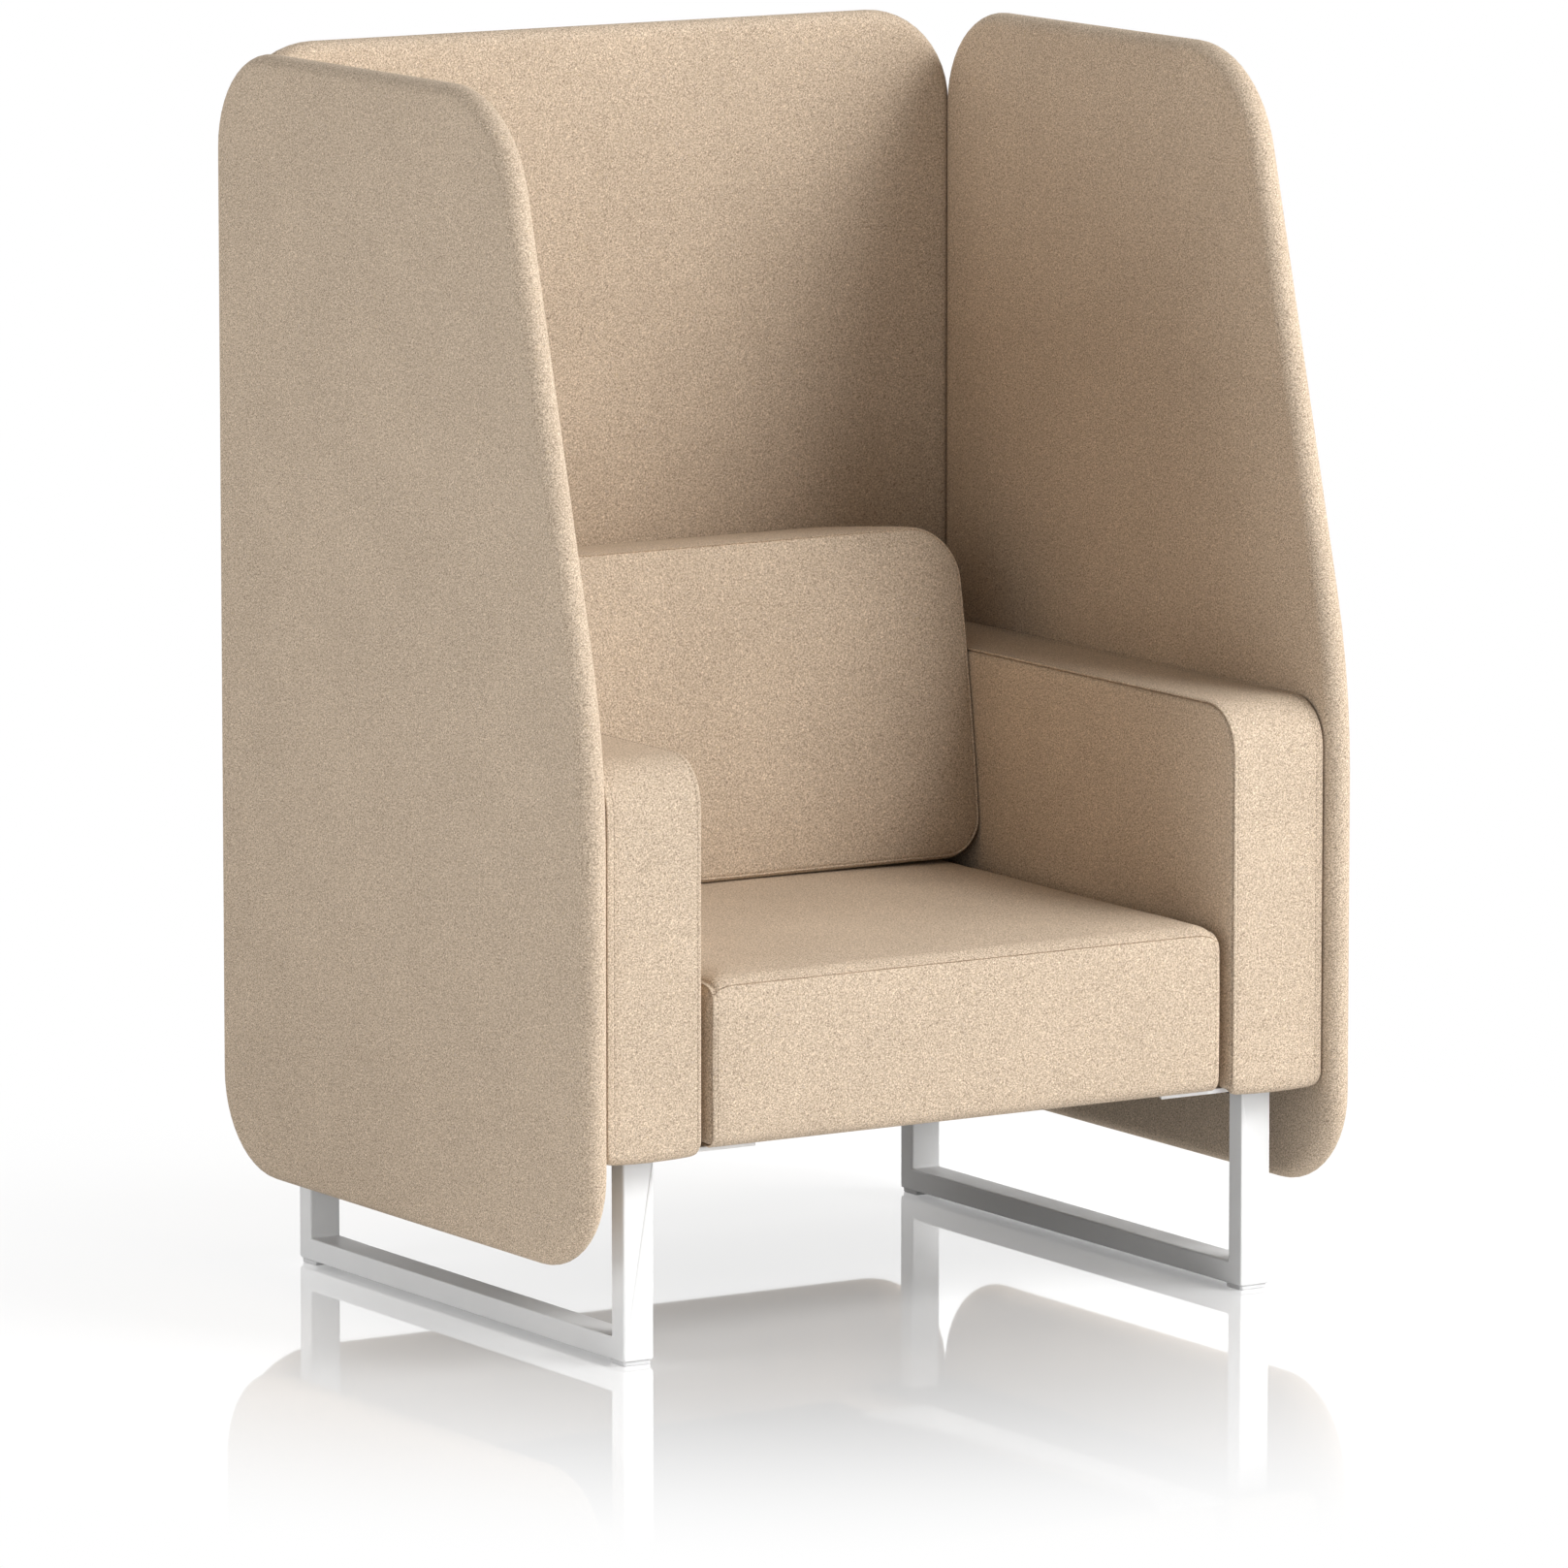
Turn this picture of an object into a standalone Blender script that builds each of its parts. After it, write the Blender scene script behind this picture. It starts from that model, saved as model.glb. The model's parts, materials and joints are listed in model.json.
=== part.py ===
"""Lounge seat with padded privacy screens, standing on two sled frames.

Each physical piece is one named object. Units are metres, +Z is up and the seat faces -Y. The origin lies
on the floor under the middle of the whole seat. Left and right are as seen from the front.
"""

import math

import bmesh
import bpy
from mathutils import Matrix, Vector

# Clearance between pieces that touch, and how far a cutter runs past the wall it cuts
GAP = 0.0003
OVERRUN = 0.001

# Cloth
CLOTH = 0.002
BASE_CLOTH = 0.0017

# Plan of the whole seat
DEPTH = 0.8195
SEAT_WIDTH = 0.652
SEAT_ARM_GAP = 0.0166
ARM_WIDTH = 0.1196
ARM_SETBACK = 0.0129
SEAT_SETBACK = 0.003
SEAT_REAR_GAP = 0.0045

# Screens
SCREEN_THICK = 0.032
SCREEN_BOARD = 0.018
SCREEN_EDGE_PAD = 0.012
SCREEN_BOTTOM = 0.110
SCREEN_TOP = 1.364
SCREEN_CORNER = 0.110
SCREEN_NEST = 0.0075
SCREEN_JOINT = 0.0006
TOP_SETBACK = 0.185
TOP_FRONT_CORNER = 0.145
KNEE_HEIGHT = 0.678
KNEE_RADIUS = 0.800
SLOT_LENGTH = 0.450
SLOT_WIDTH = 0.004

# Sled frames and glides
GLIDE_THICK = 0.005
GLIDE_LENGTH = 0.030
GLIDE_MARGIN = 0.002
GLIDE_CORNER = 0.003
GLIDE_EDGE = 0.001
PEG_RADIUS = 0.003
PEG_LENGTH = 0.007
TUBE_WIDTH = 0.038
TUBE_DEPTH = 0.025
TUBE_WALL = 0.002
TUBE_EDGE = 0.002
LEG_INSET = 0.0374
LEG_FRONT_SETBACK = 0.0382
LEG_REAR_SETBACK = 0.036

# Link plates
PLATE_THICK = 0.005
PLATE_NOSE = 0.0175
PLATE_LAP = 0.0055
PLATE_TIP = 0.0267
PLATE_ROOT = 0.0005
PLATE_ROOT_LENGTH = 0.060
PLATE_WAIST = 0.0105
TAB_REAR_SETBACK = 0.110

# Arms
ARM_BOTTOM = 0.2275
ARM_TOP = 0.661
ARM_FRONT_CORNER = 0.052
ARM_TOE_CORNER = 0.020
ARM_REAR_CORNER = 0.012
ARM_EDGE = 0.007
ARM_CROWN = 0.002
ARM_INNER_PAD = 0.020
ARM_OUTER_PAD = 0.006
ARM_FRONT_PAD = 0.025
ARM_TOP_PAD = 0.030
ARM_REAR_PAD = 0.006
ARM_MEMBER = 0.045
ARM_PANEL = 0.012

# Seat
SEAT_EDGE_TOP = 0.421
SEAT_CROWN = 0.006
SEAT_CORNER = 0.008
SEAT_TOP_EDGE = 0.022
SEAT_LOW_EDGE = 0.016
SEAT_DRAW = 0.002
SEAT_PAD = 0.016
SEAT_FLANGE = 0.040
RAIL_THICK = 0.038
RAIL_HEIGHT = 0.070
WEB_THICK = 0.002

# Back cushion
CUSHION_SIDE_GAP = 0.0008
CUSHION_FOOT_DEPTH = 0.2745
CUSHION_HEAD_DEPTH = 0.2175
CUSHION_FRONT_HEIGHT = 0.374
CUSHION_REAR_HEIGHT = 0.348
CUSHION_TOP_CORNER = 0.068
CUSHION_FOOT_CORNER = 0.045
CUSHION_FRONT_EDGE = 0.010
CUSHION_REAR_EDGE = 0.008
CUSHION_CROWN = 0.012
CUSHION_DRAW = 0.003
CUSHION_BOARD = 0.012
CUSHION_BOARD_MARGIN = 0.045

# Hanger rails between the back screen and the back cushion
HANGER_SHEET = 0.002
HANGER_LENGTH = 0.300
HANGER_LEG = 0.020
HANGER_RISE = 0.172
HANGER_WINDOW = 0.005
HANGER_SCREW_SPACING = 0.200

# Screws
PLATE_SCREW_HEAD = 0.0055
PLATE_SCREW_SHANK = 0.003
PLATE_SCREW_CONE = 0.003
PLATE_SCREW_TIP = 0.001
PLATE_SCREW_LENGTH = 0.038
ARM_SCREW_INSET = 0.025
SEAT_SCREW_INSET = 0.018
SCREEN_SCREW_HEAD = 0.007
SCREEN_SCREW_HEAD_DEPTH = 0.004
SCREEN_SCREW_SHANK = 0.0035
SCREEN_SCREW_BITE = 0.013
SCREEN_SCREW_INSET = 0.030
HANGER_SCREW_HEAD = 0.004
HANGER_SCREW_SHANK = 0.002
HANGER_SCREW_BITE = 0.009

# How finely round shapes are cut
NOSE_STEPS = 6
CORNER_STEPS = 5
SMALL_CORNER_STEPS = 3
KNEE_STEPS = 3
EDGE_STEPS = 3
TUBE_EDGE_STEPS = 2
CROWN_STEPS = 2
SIDE_STEPS = 3
ARC_STEPS = 8
SCREW_SIDES = 10
SMOOTH_ANGLE = math.radians(35)
ROUND_PROFILE = 0.5
LEAST_RADIUS = 0.001

# How far in from its edge a crowned face goes on rising, as a share of the face's narrower width
CROWN_SHARE = 0.4

# Places worked out from the plan
FRONT_Y = -DEPTH / 2
BACK_SCREEN_Y = DEPTH / 2 - SCREEN_THICK / 2
BACK_FACE_Y = DEPTH / 2 - SCREEN_THICK
SIDE_REAR_Y = BACK_FACE_Y + SCREEN_NEST
SEAT_SIDE = SEAT_WIDTH / 2
ARM_INNER = SEAT_SIDE + SEAT_ARM_GAP
ARM_OUTER = ARM_INNER + ARM_WIDTH
SIDE_SCREEN_X = ARM_OUTER + GAP + SCREEN_THICK / 2
ARM_FRONT = FRONT_Y + ARM_SETBACK
ARM_REAR = BACK_FACE_Y - GAP
SEAT_FRONT = ARM_FRONT + SEAT_SETBACK
SEAT_REAR = BACK_FACE_Y - SEAT_REAR_GAP

# The round ends of the back screen nest against the round rear edges of the side screens
NEST_DEPTH = SCREEN_THICK - SCREEN_NEST
NEST_REACH = math.sqrt((SCREEN_THICK + SCREEN_JOINT) ** 2 - NEST_DEPTH ** 2)
BACK_HALF = SIDE_SCREEN_X - NEST_REACH + SCREEN_THICK / 2
SCREEN_BOARD_INSET = CLOTH + GAP + SCREEN_EDGE_PAD

# Heights that stack up from the arm's underside
PLATE_LOW = ARM_BOTTOM + BASE_CLOTH + GAP
PLATE_HIGH = PLATE_LOW + PLATE_THICK
SEAT_BOTTOM = PLATE_HIGH + GAP
LEG_TOP = PLATE_LOW - GAP
RAIL_LOW = SEAT_BOTTOM + CLOTH + GAP
RAIL_HIGH = RAIL_LOW + RAIL_HEIGHT
WEB_HIGH = RAIL_HIGH + GAP + WEB_THICK
CUSHION_BOTTOM = SEAT_EDGE_TOP + SEAT_CROWN + GAP

# Legs
LEG_IN = ARM_INNER + LEG_INSET
LEG_OUT = LEG_IN + TUBE_WIDTH
LEG_X = (LEG_IN + LEG_OUT) / 2
LEG_FRONT = ARM_FRONT + LEG_FRONT_SETBACK
LEG_REAR = ARM_REAR - LEG_REAR_SETBACK

# Timber frames inside the seat and the arms
LINING = CLOTH + GAP
RAIL_OUT = SEAT_SIDE - LINING - SEAT_PAD
RAIL_IN = RAIL_OUT - RAIL_THICK
RAIL_X = (RAIL_IN + RAIL_OUT) / 2
RAIL_FRONT = SEAT_FRONT + LINING + SEAT_PAD
RAIL_REAR = SEAT_REAR - LINING - SEAT_PAD
FRAME_IN = ARM_INNER + LINING + ARM_INNER_PAD
FRAME_OUT = ARM_OUTER - LINING - ARM_OUTER_PAD
FRAME_FRONT = ARM_FRONT + LINING + ARM_FRONT_PAD
FRAME_REAR = ARM_REAR - LINING - ARM_REAR_PAD
FRAME_LOW = PLATE_HIGH + GAP
FRAME_HIGH = ARM_TOP - LINING - ARM_TOP_PAD
PANEL_IN = FRAME_OUT - ARM_PANEL

# Back cushion and its hangers, stepping forward from the back screen's face
CUSHION_HALF = ARM_INNER - ARM_CROWN - CUSHION_SIDE_GAP
CUSHION_REAR = BACK_FACE_Y - GAP
HANGER_BACK = BACK_FACE_Y - GAP
HANGER_MID = HANGER_BACK - HANGER_SHEET
HANGER_NEAR = HANGER_MID - GAP
HANGER_FRONT = HANGER_NEAR - HANGER_SHEET
BOARD_REAR = HANGER_FRONT - GAP
HANGER_LOW = CUSHION_BOTTOM + HANGER_RISE
HANGER_STEP = HANGER_LOW + HANGER_LEG
HANGER_HOOK = HANGER_STEP + HANGER_LEG
HANGER_HIGH = HANGER_HOOK + GAP + HANGER_LEG + HANGER_SHEET

SIDES = ((-1, "left"), (1, "right"))
UP = (0, 0, 1)


# Outlines and solids


def rounded_outline(corners, inset=0.0, least=LEAST_RADIUS, side_steps=0, draw=0.0):
    """Points of a convex counter-clockwise outline, moved in by inset.

    Each corner is (u, v, radius, steps). A straight side gets side_steps points, bowed in by draw.
    """
    points = [Vector(corner[:2]) for corner in corners]
    count = len(points)
    along = [(points[(i + 1) % count] - points[i]).normalized() for i in range(count)]
    inward = [Vector((-way.y, way.x)) for way in along]
    arcs = []
    for i, (_, _, corner_radius, steps) in enumerate(corners):
        before, after = along[i - 1], along[i]
        turn = math.atan2(before.x * after.y - before.y * after.x, before.dot(after))
        normals = inward[i - 1] + inward[i]
        tip = points[i] + normals * inset / (1 + inward[i - 1].dot(inward[i]))
        radius = max(corner_radius - inset, least)
        centre = tip - before * radius * math.tan(turn / 2) + inward[i - 1] * radius
        spoke = -inward[i - 1] * radius
        arcs.append([centre + Matrix.Rotation(turn * k / steps, 2) @ spoke for k in range(steps + 1)])
    outline = []
    for i, arc in enumerate(arcs):
        outline += arc
        start, end = arc[-1], arcs[(i + 1) % count][0]
        for k in range(1, side_steps + 1):
            t = k / (side_steps + 1)
            outline.append(start.lerp(end, t) + inward[i] * draw * 4 * t * (1 - t))
    return [tuple(point) for point in outline]


def box_corners(u0, u1, v0, v1, radius, steps=CORNER_STEPS):
    """Corners of a rectangle with one radius, for rounded_outline."""
    return [(u, v, radius, steps) for u, v in ((u0, v0), (u1, v0), (u1, v1), (u0, v1))]


def loft(rings):
    """Closed bmesh through rings of equally many points, with a flat cap at each end.

    The walls are triangles that all lean one way, so that nested forms keep an even gap.
    """
    bm = bmesh.new()
    loops = [[bm.verts.new(point) for point in ring] for ring in rings]
    for lower, upper in zip(loops, loops[1:]):
        for i in range(len(lower)):
            j = (i + 1) % len(lower)
            bm.faces.new((lower[i], lower[j], upper[j]))
            bm.faces.new((lower[i], upper[j], upper[i]))
    bm.faces.new(list(reversed(loops[0])))
    bm.faces.new(loops[-1])
    bmesh.ops.recalc_face_normals(bm, faces=bm.faces[:])
    return bm


def upright(u, v, h):
    """Place for an outline in x and y with its thickness along z."""
    return (u, v, h)


def mirrored(side):
    """Place for an outline in x and y on the right, or its mirror image on the left."""
    return lambda u, v, h: (side * u, v, h)


def sideways(side, start=0.0):
    """Place for an outline in y and z with its thickness along x, measured out from start."""
    return lambda u, v, h: (side * (start + h), u, v)


def prism(points, place, low, high):
    return loft([[place(u, v, h) for u, v in points] for h in (low, high)])


def block(place, u0, u1, v0, v1, low, high):
    return prism([(u0, v0), (u1, v0), (u1, v1), (u0, v1)], place, low, high)


def layered(corners, profile, place, **shape):
    """Solid through one outline, moved in and set at a height by each (inset, height) of the profile."""
    rings = []
    for inset, height in profile:
        outline = rounded_outline(corners, inset, **shape)
        rings.append([place(u, v, height) for u, v in outline])
    return loft(rings)


def turned(start, axis, profile):
    """Solid of revolution from (distance along the axis, radius) pairs."""
    start, axis = Vector(start), Vector(axis).normalized()
    across = axis.orthogonal().normalized()
    over = axis.cross(across)
    rings = []
    for distance, radius in profile:
        ring = []
        for k in range(SCREW_SIDES):
            angle = 2 * math.pi * k / SCREW_SIDES
            spoke = across * math.cos(angle) + over * math.sin(angle)
            ring.append(start + axis * distance + spoke * radius)
        rings.append(ring)
    return loft(rings)


def hole(start, axis, length, radius):
    """Cutter for a round hole with clearance, run past both ends."""
    return turned(start, axis, [(-OVERRUN, radius + GAP), (length + OVERRUN, radius + GAP)])


# Objects and cuts


def make_material(name, colour, roughness, metallic=0.0):
    material = bpy.data.materials.new(name)
    material.use_nodes = True
    shader = material.node_tree.nodes["Principled BSDF"]
    shader.inputs["Base Color"].default_value = (*colour, 1.0)
    shader.inputs["Roughness"].default_value = roughness
    shader.inputs["Metallic"].default_value = metallic
    return material


def add_solid(name, bm, material):
    mesh = bpy.data.meshes.new(name)
    bm.to_mesh(mesh)
    bm.free()
    mesh.materials.append(material)
    solid = bpy.data.objects.new(name, mesh)
    bpy.context.scene.collection.objects.link(solid)
    return solid


def subtract(target, *cutters):
    """Cut each cutter out of the target."""
    for bm in cutters:
        tool = add_solid("cutter", bm, target.data.materials[0])
        modifier = target.modifiers.new("cut", "BOOLEAN")
        modifier.operation = "DIFFERENCE"
        modifier.solver = "EXACT"
        modifier.object = tool
        bpy.context.view_layer.objects.active = target
        bpy.ops.object.modifier_apply(modifier=modifier.name)
        bpy.data.objects.remove(tool)


def gather(name, location, pieces):
    """Parent pieces to an empty at their group's reference point, with each mesh measured from it."""
    empty = bpy.data.objects.new(name, None)
    empty.location = location
    bpy.context.scene.collection.objects.link(empty)
    for piece in pieces:
        piece.data.transform(Matrix.Translation(-Vector(location)))
        piece.data.shade_smooth()
        piece.data.set_sharp_from_angle(angle=SMOOTH_ANGLE)
        piece.parent = empty


# Profiles of the upholstered forms


def nose_profile(shrink):
    """Rings of a panel whose edge is a full half round, every face moved in by shrink."""
    radius = SCREEN_THICK / 2 - shrink
    angles = [math.pi * k / NOSE_STEPS for k in range(NOSE_STEPS + 1)]
    return [(shrink + radius * (1 - math.sin(a)), -radius * math.cos(a)) for a in angles]


def padded_profile(low, high, low_edge, high_edge, crown, reach, shrink):
    """Rings of a boxed pad with rounded edges and a crowned upper face, every face moved in by shrink."""
    quarter = [math.pi / 2 * k / EDGE_STEPS for k in range(EDGE_STEPS + 1)]
    under, over = low_edge - shrink, high_edge - shrink
    rings = [(shrink + under * (1 - math.sin(a)), low + shrink + under * (1 - math.cos(a))) for a in quarter]
    rings += [(shrink + over * (1 - math.cos(a)), high - shrink - over * (1 - math.sin(a))) for a in quarter]
    for k in range(1, CROWN_STEPS + 1):
        t = k / CROWN_STEPS
        rings.append((high_edge + t * (reach - high_edge), high - shrink + crown * t * (2 - t)))
    return rings


def shell(name, shape, material):
    """Cover of cloth thickness: shape(shrink) gives the form with its faces moved in."""
    cover = add_solid(name, shape(0.0), material)
    subtract(cover, shape(CLOTH))
    return cover


# Screens


def side_screen_corners():
    return [
        (FRONT_Y, SCREEN_BOTTOM, SCREEN_CORNER, CORNER_STEPS),
        (SIDE_REAR_Y, SCREEN_BOTTOM, SCREEN_CORNER, CORNER_STEPS),
        (SIDE_REAR_Y, SCREEN_TOP, SCREEN_CORNER, CORNER_STEPS),
        (FRONT_Y + TOP_SETBACK, SCREEN_TOP, TOP_FRONT_CORNER, CORNER_STEPS),
        (FRONT_Y, KNEE_HEIGHT, KNEE_RADIUS, KNEE_STEPS),
    ]


def back_place(u, v, h):
    """Place for an outline in x and z with its thickness along y about the back screen's middle."""
    return (u, BACK_SCREEN_Y + h, v)


def build_screen(name, corners, place, screws, materials):
    """Board, foam wrap and cover of one screen, with a slot along the bottom and the screws' holes."""

    def shape(shrink):
        return layered(corners, nose_profile(shrink), place)

    def board_form(inset, half):
        return layered(corners, [(inset, -half), (inset, half)], place)

    def slot(depth):
        middle = (corners[0][0] + corners[1][0]) / 2
        ends = (middle - SLOT_LENGTH / 2, middle + SLOT_LENGTH / 2)
        heights = (SCREEN_BOTTOM - OVERRUN, SCREEN_BOTTOM + depth)
        return block(place, *ends, *heights, -SLOT_WIDTH / 2, SLOT_WIDTH / 2)

    half = SCREEN_BOARD / 2
    board = add_solid(name + "_board", board_form(SCREEN_BOARD_INSET, half), materials["wood"])
    foam = add_solid(name + "_foam", shape(LINING), materials["foam"])
    subtract(foam, board_form(SCREEN_BOARD_INSET - GAP, half + GAP), slot(SCREEN_BOARD_INSET))
    cover = shell(name + "_cover", shape, materials["fabric"])
    subtract(cover, slot(CLOTH + OVERRUN))
    for piece in (board, foam, cover):
        subtract(piece, *(hole(*screw) for screw in screws))
    return [board, foam, cover]


# Screws that hold the screens and the hanger rails

ARM_MID_Z = (FRAME_LOW + FRAME_HIGH) / 2
CAVITY_FRONT = FRAME_FRONT + ARM_MEMBER
CAVITY_REAR = FRAME_REAR - ARM_MEMBER
CAVITY_X = (FRAME_IN + PANEL_IN) / 2
SIDE_SCREW_START = PANEL_IN - GAP
SIDE_SCREW_END = SIDE_SCREEN_X - SCREEN_BOARD / 2 + SCREEN_SCREW_BITE
BACK_SCREW_START = CAVITY_REAR - GAP
BACK_SCREW_END = BACK_SCREEN_Y - SCREEN_BOARD / 2 + SCREEN_SCREW_BITE
BACK_SCREW_Z = FRAME_HIGH - ARM_MEMBER - SCREEN_SCREW_INSET
SCREEN_HANGER_SCREW_Z = HANGER_LOW + HANGER_LEG / 2
CUSHION_HANGER_SCREW_Z = HANGER_HIGH - HANGER_LEG / 2


def side_screws(side):
    """(start, axis, length, radius) of each screw from an arm frame's panel into its side screen."""
    length = SIDE_SCREW_END - SIDE_SCREW_START
    ends = (CAVITY_FRONT + SCREEN_SCREW_INSET, CAVITY_REAR - SCREEN_SCREW_INSET)
    starts = [(side * SIDE_SCREW_START, y, ARM_MID_Z) for y in ends]
    return [(start, (side, 0, 0), length, SCREEN_SCREW_SHANK) for start in starts]


def back_screw(side):
    """The screw from an arm frame's rear member into the back screen."""
    start = (side * CAVITY_X, BACK_SCREW_START, BACK_SCREW_Z)
    return (start, (0, 1, 0), BACK_SCREW_END - BACK_SCREW_START, SCREEN_SCREW_SHANK)


def hanger_screws(on_screen):
    """The screws of the rail on the back screen, or of the rail on the cushion's board."""
    places = [side * HANGER_SCREW_SPACING / 2 for side, _ in SIDES]
    if on_screen:
        start_y, way, height = HANGER_NEAR, 1, SCREEN_HANGER_SCREW_Z
        end_y = BACK_SCREEN_Y - SCREEN_BOARD / 2 + HANGER_SCREW_BITE
    else:
        start_y, way, height = HANGER_MID, -1, CUSHION_HANGER_SCREW_Z
        end_y = BOARD_REAR - HANGER_SCREW_BITE
    return [((x, start_y, height), (0, way, 0), abs(end_y - start_y), HANGER_SCREW_SHANK) for x in places]


def headed_screw(name, screw, head_radius, head_depth, material):
    """Screw with a flat head that stands on the face at its start."""
    start, axis, length, radius = screw
    profile = [(-head_depth, head_radius), (0.0, head_radius), (0.0, radius), (length, radius)]
    return add_solid(name, turned(start, axis, profile), material)


# Sled frames, glides and link plates


def tube_outline(wall, top):
    """Outline in y and z of the U of tube, moved in by wall, with its open ends at top."""
    front, rear, low, deep = LEG_FRONT + wall, LEG_REAR - wall, GLIDE_THICK + wall, TUBE_DEPTH - 2 * wall
    return [
        (front, low),
        (rear, low),
        (rear, top),
        (rear - deep, top),
        (rear - deep, low + deep),
        (front + deep, low + deep),
        (front + deep, top),
        (front, top),
    ]


def glide_places():
    """y of the middle of each glide, front and rear."""
    reach = GLIDE_MARGIN + GLIDE_LENGTH / 2
    return (LEG_FRONT + reach, LEG_REAR - reach)


def build_sled(side, label, materials):
    place = sideways(side)
    bm = prism(tube_outline(0.0, LEG_TOP), place, LEG_IN, LEG_OUT)
    below_top = LEG_TOP - OVERRUN
    edges = [edge for edge in bm.edges if any(vert.co.z < below_top for vert in edge.verts)]
    bmesh.ops.bevel(
        bm, geom=edges, offset=TUBE_EDGE, segments=TUBE_EDGE_STEPS, profile=ROUND_PROFILE, affect="EDGES"
    )
    frame = add_solid(label + "_sled_frame", bm, materials["white_metal"])
    bore = tube_outline(TUBE_WALL, LEG_TOP + OVERRUN)
    subtract(frame, prism(bore, place, LEG_IN + TUBE_WALL, LEG_OUT - TUBE_WALL))
    pieces = [frame]
    for end, y in zip(("front", "rear"), glide_places()):
        subtract(frame, hole((side * LEG_X, y, GLIDE_THICK), UP, TUBE_WALL, PEG_RADIUS))
        pieces.append(build_glide(label + "_" + end + "_glide", side * LEG_X, y, materials))
    return pieces


def build_glide(name, x, y, materials):
    """Rectangular pad with a round peg that fills a hole in the rail's underside."""

    def corners(half_width, half_length, radius):
        return box_corners(
            x - half_width, x + half_width, y - half_length, y + half_length, radius, SMALL_CORNER_STEPS
        )

    pad = corners(TUBE_WIDTH / 2 - GLIDE_MARGIN, GLIDE_LENGTH / 2, GLIDE_CORNER)
    peg = corners(PEG_RADIUS, PEG_RADIUS, PEG_RADIUS)
    top = GLIDE_THICK - GAP
    steps = [
        (pad, GLIDE_EDGE, 0.0),
        (pad, 0.0, GLIDE_EDGE),
        (pad, 0.0, top),
        (peg, 0.0, top),
        (peg, 0.0, top + PEG_LENGTH),
    ]
    rings = [[(u, v, z) for u, v in rounded_outline(outline, inset)] for outline, inset, z in steps]
    return add_solid(name, loft(rings), materials["glide"])


def arc_through(start, middle, end, steps):
    """Points after start on the circle through three points, ending at end."""
    (ax, ay), (bx, by), (cx, cy) = start, middle, end
    twice = 2 * (ax * (by - cy) + bx * (cy - ay) + cx * (ay - by))
    a2, b2, c2 = ax * ax + ay * ay, bx * bx + by * by, cx * cx + cy * cy
    centre_x = (a2 * (by - cy) + b2 * (cy - ay) + c2 * (ay - by)) / twice
    centre_y = (a2 * (cx - bx) + b2 * (ax - cx) + c2 * (bx - ax)) / twice
    centre = Vector((centre_x, centre_y))
    spoke, last = Vector(start) - centre, Vector(end) - centre
    sweep = math.atan2(spoke.x * last.y - spoke.y * last.x, spoke.dot(last))
    return [tuple(centre + Matrix.Rotation(sweep * k / steps, 2) @ spoke) for k in range(1, steps + 1)]


def plate_outline():
    """Outline in x and y of the right link plate: a strip over the legs and a waisted flange under the seat.

    The flange is widest at its front, and an arc draws it in towards the rear.
    """
    front, rear = LEG_FRONT - PLATE_NOSE, LEG_REAR + PLATE_LAP
    tab_rear = rear - TAB_REAR_SETBACK
    tip, root, waist = RAIL_X - PLATE_TIP, RAIL_X + PLATE_ROOT, RAIL_X + PLATE_WAIST
    rear_tip, front_root = (tip, tab_rear), (root, front + PLATE_ROOT_LENGTH)
    waist_point = (waist, (rear_tip[1] + front_root[1]) / 2)
    curve = arc_through(rear_tip, waist_point, front_root, ARC_STEPS)
    strip = [(tip, front), (LEG_OUT, front), (LEG_OUT, rear), (LEG_IN, rear), (LEG_IN, tab_rear)]
    return [*strip, rear_tip, *curve]


def plate_screw_places():
    """x, y and label of the screws on the right: two into the arm frame and two into the seat rail."""
    front, rear = LEG_FRONT + TUBE_DEPTH, LEG_REAR - TUBE_DEPTH
    tab_rear = LEG_REAR + PLATE_LAP - TAB_REAR_SETBACK
    return [
        (LEG_X, front + ARM_SCREW_INSET, "arm_front"),
        (LEG_X, rear - ARM_SCREW_INSET, "arm_rear"),
        (RAIL_X, RAIL_FRONT + RAIL_THICK + SEAT_SCREW_INSET, "seat_front"),
        (RAIL_X, tab_rear - SEAT_SCREW_INSET, "seat_rear"),
    ]


def build_link_plate(side, label, materials):
    solid = prism(plate_outline(), mirrored(side), PLATE_LOW, PLATE_HIGH)
    plate = add_solid(label + "_link_plate", solid, materials["white_metal"])
    pieces = [plate]
    head, neck, end = 0.0, PLATE_SCREW_CONE, PLATE_SCREW_LENGTH
    screw = [
        (head, PLATE_SCREW_HEAD),
        (neck, PLATE_SCREW_SHANK),
        (end - neck, PLATE_SCREW_SHANK),
        (end, PLATE_SCREW_TIP),
    ]
    countersink = [
        (head - OVERRUN, PLATE_SCREW_HEAD + GAP),
        (head, PLATE_SCREW_HEAD + GAP),
        (neck, PLATE_SCREW_SHANK + GAP),
        (end, PLATE_SCREW_SHANK + GAP),
    ]
    for x, y, where in plate_screw_places():
        start = (side * x, y, PLATE_LOW)
        subtract(plate, turned(start, UP, countersink))
        pieces.append(add_solid(f"{label}_{where}_screw", turned(start, UP, screw), materials["steel"]))
    return pieces


def plate_screw_holes(side, wheres):
    """Cutters for the shanks of the named plate screws."""
    return [
        hole((side * x, y, PLATE_LOW), UP, PLATE_SCREW_LENGTH, PLATE_SCREW_SHANK)
        for x, y, where in plate_screw_places()
        if where.startswith(wheres)
    ]


# Arms


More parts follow.
